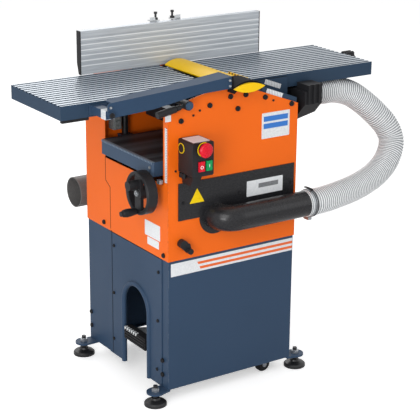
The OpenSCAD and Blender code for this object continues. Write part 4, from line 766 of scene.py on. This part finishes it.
def makeHose(settings, route):
    line = smoothRoute(route, settings["curveSteps"])
    length = sum((b - a).length for a, b in zip(line, line[1:]))
    steps = settings["stepsPerRib"]
    count = round(length / settings["pitch"]) * steps
    spots, length = evenSteps(line, count)
    runs = [i / steps for i in range(count + 1)]
    valleys = [0.5 - 0.5 * math.cos(2 * math.pi * run) for run in runs]
    radii = [settings["radius"] - settings["ribDepth"] * valley for valley in valleys]
    bm = bmesh.new()
    layer = bm.verts.layers.float.new("ribRun")
    sweep(bm, spots, radii, settings["sides"], layer, runs, capped=False)
    hose = finishPiece("chipHose", bm, hoseFilm, "machine", smooth=True)
    wall = hose.modifiers.new("wall", "SOLIDIFY")
    wall.thickness = settings["wall"]
    wall.offset = -1.0
    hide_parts("dust_hose")
    wire = makeWire(wireSet, route)
    return length


hoseLength = makeHose(hoseShape, hoseRoute)
print("hose made, length", round(hoseLength, 3))


# faces of the solids that carry the small pieces, in the source's millimetres

def sideOf(name, axis, end):  # one side of a solid's box: axis 0 to 2, end 0 low or 1 high
    return (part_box(name)[end][axis] - originShift[axis]) * 1000


bodyFront = sideOf("body_front", 1, 0)
bodyLeft = sideOf("body_front", 0, 0)
bodyRight = sideOf("body_front", 0, 1)
bodyBack = sideOf("body_rear", 1, 1)
baseFront = sideOf("base_front", 1, 0)
baseTop = sideOf("base_front", 2, 1)
baseLeft = bodyLeft + bodyRight - sideOf("base_right", 0, 1)  # the left end mirrors the right one
ductPlate = bodyFront - 3.0  # front of the plate that carries the duct
switchFront = sideOf("switch_box", 1, 0)
switchLeft = sideOf("switch_box", 0, 0)
switchTop = sideOf("switch_box", 2, 1)
buttonFront = sideOf("stop_button", 1, 0)
wayFront = sideOf("right_table", 1, 0)  # front of the infeed table's sloping way
bedLeft = sideOf("thicknesser_table", 0, 0)
treadLeft = sideOf("pedal_tread", 0, 0)
armFront = sideOf("guard_arm", 1, 0)
bracketFront = sideOf("guard_bracket", 1, 0)


# fasteners

panelBolts = {"radius": 0.0082, "height": 0.006, "sides": 20,
              "spots": [(-201, 894), (-101, 928), (-28, 945), (-1, 905), (27, 944), (99, 927), (199, 894)]}
smallBolts = {"radius": 0.0035, "height": 0.002, "sides": 16,
              "spots": [(-158, 905), (-219, 745), (130, 913), (-136, 917)]}
plateScrews = {"radius": 0.0058, "height": 0.0035, "sides": 14, "spots": [(-193, 643), (9, 643), (205, 643)]}
baseScrews = {"radius": 0.0055, "height": 0.004, "sides": 16,
              "spots": [(110, 421), (113, 260), (116, 100), (-157, 417), (-153, 257), (-149, 94)]}
footBolts = {"radius": 0.0075, "height": 0.0055, "sides": 16,
             "spots": [(269, 140), (267, 92), (-180, 135), (-180, 88)]}
seamBolts = {"radius": 0.0078, "height": 0.0055, "sides": 16, "spots": [(170, 483), (-187, 480)]}
rearBolts = {"radius": 0.006, "height": 0.0045, "sides": 16, "x": (-222, 202), "z": (495, 690, 860)}
bracketBolt = {"radius": 0.0085, "height": 0.004, "sides": 20, "spots": [(-447, 950)]}
endSheets = {"panel": (-186, 131), "panelIn": 0.3, "sheetIn": 2.8}  # depths from the body's side


def addBolts(bm, settings, spots, normal, helper=addBolt):
    for spot in spots:
        helper(bm, spot, normal, settings["radius"], settings["height"], settings["sides"])


def sheetDepth(y, z, settings):  # from the body's side in to the sheet that a bolt sits on
    if z > baseTop:
        return 0.0
    low, high = settings["panel"]
    return settings["panelIn"] if low < y < high else settings["sheetIn"]


def makePanelFasteners():
    bm = bmesh.new()
    addBolts(bm, panelBolts, [(x, bodyFront, z) for x, z in panelBolts["spots"]], toFront)
    addBolts(bm, smallBolts, [(x, bodyFront, z) for x, z in smallBolts["spots"]], toFront, addDisc)
    addBolts(bm, plateScrews, [(x, ductPlate, z) for x, z in plateScrews["spots"]], toFront)
    for group in (baseScrews, footBolts, seamBolts):
        spots = [(sheetDepth(y, z, endSheets), y, z) for y, z in group["spots"]]
        addBolts(bm, group, [(bodyLeft + depth, y, z) for depth, y, z in spots], toLeft)
        addBolts(bm, group, [(bodyRight - depth, y, z) for depth, y, z in spots], toRight)
    addBolts(bm, rearBolts, [(x, bodyBack, z) for x in rearBolts["x"] for z in rearBolts["z"]], toBack)
    addBolts(bm, bracketBolt, [(x, bracketFront, z) for x, z in bracketBolt["spots"]], toFront)
    finishPiece("panelFasteners", bm, gripPlastic, "machine")


armScrews = {"radius": 0.0042, "height": 0.003, "sides": 14, "spots": [(-447, 971), (-46, 1000), (-46, 983)]}


def makeArmScrews(settings):
    bm = bmesh.new()
    addBolts(bm, settings, [(x, armFront, z) for x, z in settings["spots"]], toFront)
    finishPiece("guardArmScrews", bm, zincSteel, "guard_arm")


hubSet = {"seat": (-306, -140, 673), "nut": 0.0095, "nutHeight": 0.005, "stud": 0.005, "studHeight": 0.004,
          "studEnd": 0.004}


def makeHubNut(settings):
    bm = bmesh.new()
    x, y, z = settings["seat"]
    outside = x - settings["nutHeight"] * 1000
    addDisc(bm, (x, y, z), toLeft, settings["nut"], settings["nutHeight"], 6)
    addDisc(bm, (outside, y, z), toLeft, settings["stud"], settings["studHeight"], 20, settings["studEnd"])
    finishPiece("hubNut", bm, zincSteel, "handwheel")


makePanelFasteners()
makeArmScrews(armScrews)
makeHubNut(hubSet)
print("fasteners placed")


# small pieces from plain shapes, with one dictionary for each piece
# plate: middle, facing, width, height, thickness, corner, spin
# ring: middle, facing, outer and inner radius, thickness
# block: two corners, edge
# disc: middle, facing, radius, height, sides, top radius

shapeHelpers = {"plates": addPlate, "rings": addRing, "blocks": addBlock, "discs": addDisc}


def makeSmallPieces(pieces):
    for name, settings in pieces.items():
        bm = bmesh.new()
        for kind, helper in shapeHelpers.items():
            for shape in settings.get(kind, []):
                helper(bm, *shape)
        finishPiece(name, bm, settings["finish"], settings["body"])


# plates, scales and dark strips of painted shade along two seams, all without words

waySlope = math.radians(20.7)
seamSlope = math.radians(-31.3)
platePieces = {
    "barePlates": {"finish": plateWhite, "body": "machine", "slot": "hose_plastic", "plates": [
        ((103, ductPlate, 648), toFront, 0.135, 0.049, 0.0007, 0.002),
        ((bodyLeft, -123, 541), toLeft, 0.087, 0.048, 0.0006, 0.002),
        ((bodyLeft, -127, 502), toLeft, 0.066, 0.024, 0.0006, 0.002),
        ((-173, -250, switchTop), toTop, 0.058, 0.062, 0.0006, 0.002),
        ((-245, bodyFront, 907), toFront, 0.02, 0.019, 0.0008, 0.001)]},
    "ratingField": {"finish": plateGrey, "body": "machine", "slot": "hose_plastic", "plates": [
        ((116, ductPlate - 0.7, 653), toFront, 0.074, 0.014, 0.0004, 0.001)]},
    "noticePlace": {"finish": noticeRows, "body": "machine", "slot": "hose_plastic", "plates": [
        ((141, bodyFront, 837), toFront, 0.104, 0.08, 0.0006, 0.002)]},
    "triangleField": {"finish": signYellow, "body": "machine", "slot": "yellow_paint", "discs": [
        ((-145, ductPlate, 652), toFront, 0.03, 0.0007, 3)]},
    "baseBand": {"finish": bandStripes, "body": "machine", "slot": "hose_plastic", "plates": [
        ((-7, baseFront, 435.5), toFront, 0.452, 0.041, 0.0006, 0.0008)]},
    "heightScale": {"finish": tickWhite, "body": "machine", "slot": "hose_plastic", "plates": [
        ((bodyLeft, -200, 793), toLeft, 0.012, 0.166, 0.0007, 0.001)]},
    "depthScales": {"finish": depthWhite, "body": "infeed_table", "slot": "hose_plastic", "plates": [
        ((164, -161, 949), toFront, 0.064, 0.015, 0.0006, 0.0006, -waySlope),
        ((136, wayFront, 934), toFront, 0.064, 0.014, 0.0006, 0.0006, -waySlope)]},
    # painted shade: thin dark strips stand in for the shadow in the seam of the drive cover
    "coverSeamShade": {"finish": seamShade, "body": "machine", "slot": "orange_paint", "plates": [
        ((bodyLeft + 0.2, 158.2, 665), toLeft, 0.003, 0.076, 0.0004, 0.0004),
        ((bodyLeft + 0.2, 130.2, 541), toLeft, 0.003, 0.137, 0.0004, 0.0004),
        ((bodyLeft + 0.2, 144.2, 618.3), toLeft, 0.0335, 0.003, 0.0004, 0.0004, seamSlope)]},
    # painted shadow: a dark strip where the proud end panel shades the return beside it
    "baseSeamShadow": {"finish": baseShade, "body": "machine", "slot": "slate_paint", "plates": [
        ((baseLeft, 124, 258), toLeft, 0.0035, 0.42, 0.0004, 0.0004)]},
}

makeSmallPieces(platePieces)
print("plates placed")


# switch fittings

switchPieces = {
    "switchRings": {"finish": signYellow, "body": "machine", "slot": "yellow_paint", "rings": [
        ((-174, switchFront, 824), toFront, 0.0215, 0.0185, 0.0008),
        ((switchLeft, -229, 818), toLeft, 0.0155, 0.0132, 0.0012)]},
    "switchPlugs": {"finish": gripPlastic, "body": "machine", "slot": "black_plastic", "discs": [
        ((switchLeft, -229, 818), toLeft, 0.0128, 0.003, 28, 0.0116),
        ((-205, -236, 742), toFloor, 0.007, 0.014, 6),
        ((-205, -222, 742), toFloor, 0.007, 0.014, 6)]},
    "stopMark": {"finish": markWhite, "body": "stop", "slot": "hose_plastic", "rings": [
        ((-180, buttonFront, 771), toFront, 0.0052, 0.0036, 0.0004)]},
    "startMark": {"finish": markWhite, "body": "start", "slot": "hose_plastic", "plates": [
        ((-154, buttonFront, 773), toFront, 0.0016, 0.0095, 0.0004, 0.0003)]},
}

makeSmallPieces(switchPieces)
print("switch fitted")


# fence clips and their screws

clipSet = {"places": [(-65, -47, -40.5), (26.5, 45.5, 21)],  # each clip's two sides and its screw, along X
           "back": 176, "thick": 6, "z": (1080, 1120), "shelfReach": 19, "shelfHalf": 9,
           "shelfZ": (1107.5, 1110.5)}
screwSet = {"y": 187, "rod": (1098, 0.0034, 0.036, 14), "nut": (1110.5, 0.0075, 0.006, 6),
            "head": (1129, 0.0056, 0.006, 16)}  # height of the lower end, radius, length and sides


def makeFenceClips(settings):
    bm = bmesh.new()
    back = settings["back"]
    low, high = settings["z"]
    under, over = settings["shelfZ"]
    half = settings["shelfHalf"]
    for left, right, screw in settings["places"]:
        addBlock(bm, (left, back, low), (right, back + settings["thick"], high), 0.001)
        addBlock(bm, (min(left, screw - half), back, under),
                 (max(right, screw + half), back + settings["shelfReach"], over), 0.0008)
    finishPiece("fenceClips", bm, palePlastic, "fence")


def makeFenceScrews(settings, places):
    bm = bmesh.new()
    for left, right, screw in places:
        for part in ("rod", "nut", "head"):
            z, radius, length, sides = settings[part]
            addDisc(bm, (screw, settings["y"], z), toTop, radius, length, sides)
    finishPiece("fenceScrews", bm, blackSteel, "fence")


makeFenceClips(clipSet)
makeFenceScrews(screwSet, clipSet["places"])
print("fence clips placed")


# fittings of the tables, the guard and the pedal

tablePieces = {
    "tablePointer": {"finish": zincSteel, "body": "rise_table", "slot": "zinc_steel", "blocks": [
        ((bedLeft, -193, 706), (bedLeft + 12, -177, 718), 0.0012)], "discs": [
        ((bedLeft, -140, 745), toLeft, 0.0045, 0.003, 16)]},
    "interlockCase": {"finish": smokePlastic, "body": "machine", "slot": "black_plastic", "blocks": [
        ((-213, 156, 783), (-184, 189.5, 823), 0.002),
        ((-209, 153, 787), (-188, 157, 812), 0.0015)]},
    # painted shade: a black strip under the left table's front side stands in for its shaded underside
    "tableUnderShade": {"finish": gripPlastic, "body": "machine", "slot": "black_rubber", "blocks": [
        ((-556, -152, 921), (-470, -140, 930), 0.001)]},
    "hazardEdge": {"finish": hazardTape, "body": "guard_arm", "slot": "yellow_paint", "blocks": [
        ((55.7, -175.2, 973.6), (62.7, -78, 984), 0.001)]},
    "treadTeeth": {"finish": palePlastic, "body": "pedal", "slot": "black_plastic", "blocks": [
        ((treadLeft, y, 163), (treadLeft + 10, y + 6, 173.5), 0.0008) for y in range(-36, 30, 13)]},
    # painted highlight: pale plates stand in for the lit ends of the bed's ribs along its left edge
    "bedTeeth": {"finish": toothHighlight, "body": "rise_table", "slot": "slate_paint", "plates": [
        ((bedLeft, -148 + k * 8.2, 759.6), toLeft, 0.0034, 0.006, 0.0005, 0.0008) for k in range(37)]},
    "bracketSleeve": {"finish": palePlastic, "body": "machine", "slot": "zinc_steel", "blocks": [
        ((-462.5, -231.4, 936.5), (-431.5, -206, 963.5), 0.0015)]},
    "clampCap": {"finish": slateCap, "body": "clamp", "slot": "slate_paint", "discs": [
        ((-189, -238.3, 943), toFront, 0.0125, 0.0035, 32, 0.0118)]},
}

makeSmallPieces(tablePieces)
print("fittings placed")


# floor, lights and world

stageSet = {"reach": 9.0, "floor": 0.9, "lift": 0.47, "worldLight": 0.58}
lampSet = {  # place, target, size and power
    "keyLight": ((-3.2, -2.6, 3.0), (0, 0, 0.6), (2.2, 2.2), 62.0),
    "sideLight": ((-2.4, -1.9, 0.9), (-0.1, 0.1, 0.8), (0.9, 0.9), 24.0),
    "fillLight": ((2.8, -3.0, 2.2), (0, 0, 0.6), (2.4, 2.4), 14.0),
    "backLight": ((0.8, 3.2, 3.2), (0, 0, 0.8), (2.4, 2.0), 50.0),
}


def addFloor(settings):
    bm = bmesh.new()
    bmesh.ops.create_grid(bm, x_segments=1, y_segments=1, size=settings["reach"])
    data = bpy.data.meshes.new("paleFloor")
    bm.to_mesh(data)
    bm.free()
    floor = bpy.data.objects.new("paleFloor", data)
    bpy.context.scene.collection.objects.link(floor)
    paint = bpy.data.materials.new("paleFloor")
    paint.use_nodes = True
    tree = paint.node_tree
    shader = tree.nodes["Principled BSDF"]
    looked = addNode(tree, "LightPath").outputs["Is Camera Ray"]  # white backdrop, shadow kept
    fill(tree, shader, {"Base Color": (settings["floor"],) * 3 + (1,), "Roughness": 0.8,
                        "Specular IOR Level": 0.0, "Emission Color": (1, 1, 1, 1),
                        "Emission Strength": times(tree, looked, settings["lift"])})
    data.materials.append(paint)


def addWorld(settings):  # plain white where it is seen, dimmer as a light
    world = bpy.data.worlds.new("paleRoom")
    bpy.context.scene.world = world
    world.use_nodes = True
    tree = world.node_tree
    rays = addNode(tree, "LightPath").outputs
    mirrored = maths(tree, "MAXIMUM", rays["Is Glossy Ray"], rays["Is Transmission Ray"])
    seen = maths(tree, "MAXIMUM", rays["Is Camera Ray"], mirrored)
    strength = addNode(tree, "Mix", {0: seen, 2: settings["worldLight"], 3: 1.0}, data_type="FLOAT")
    fill(tree, tree.nodes["Background"], {"Color": (1, 1, 1, 1), "Strength": strength.outputs[0]})


def addArea(name, place, target, size, power):
    data = bpy.data.lights.new(name, "AREA")
    data.energy = power
    data.shape = "RECTANGLE"
    data.size, data.size_y = size
    lamp = bpy.data.objects.new(name, data)
    lamp.location = place
    lamp.rotation_euler = (Vector(target) - Vector(place)).to_track_quat("-Z", "Y").to_euler()
    bpy.context.scene.collection.objects.link(lamp)


addFloor(stageSet)
addWorld(stageSet)
for name, lamp in lampSet.items():
    addArea(name, *lamp)
bpy.context.scene.view_settings.view_transform = "Standard"
print("stage lit")
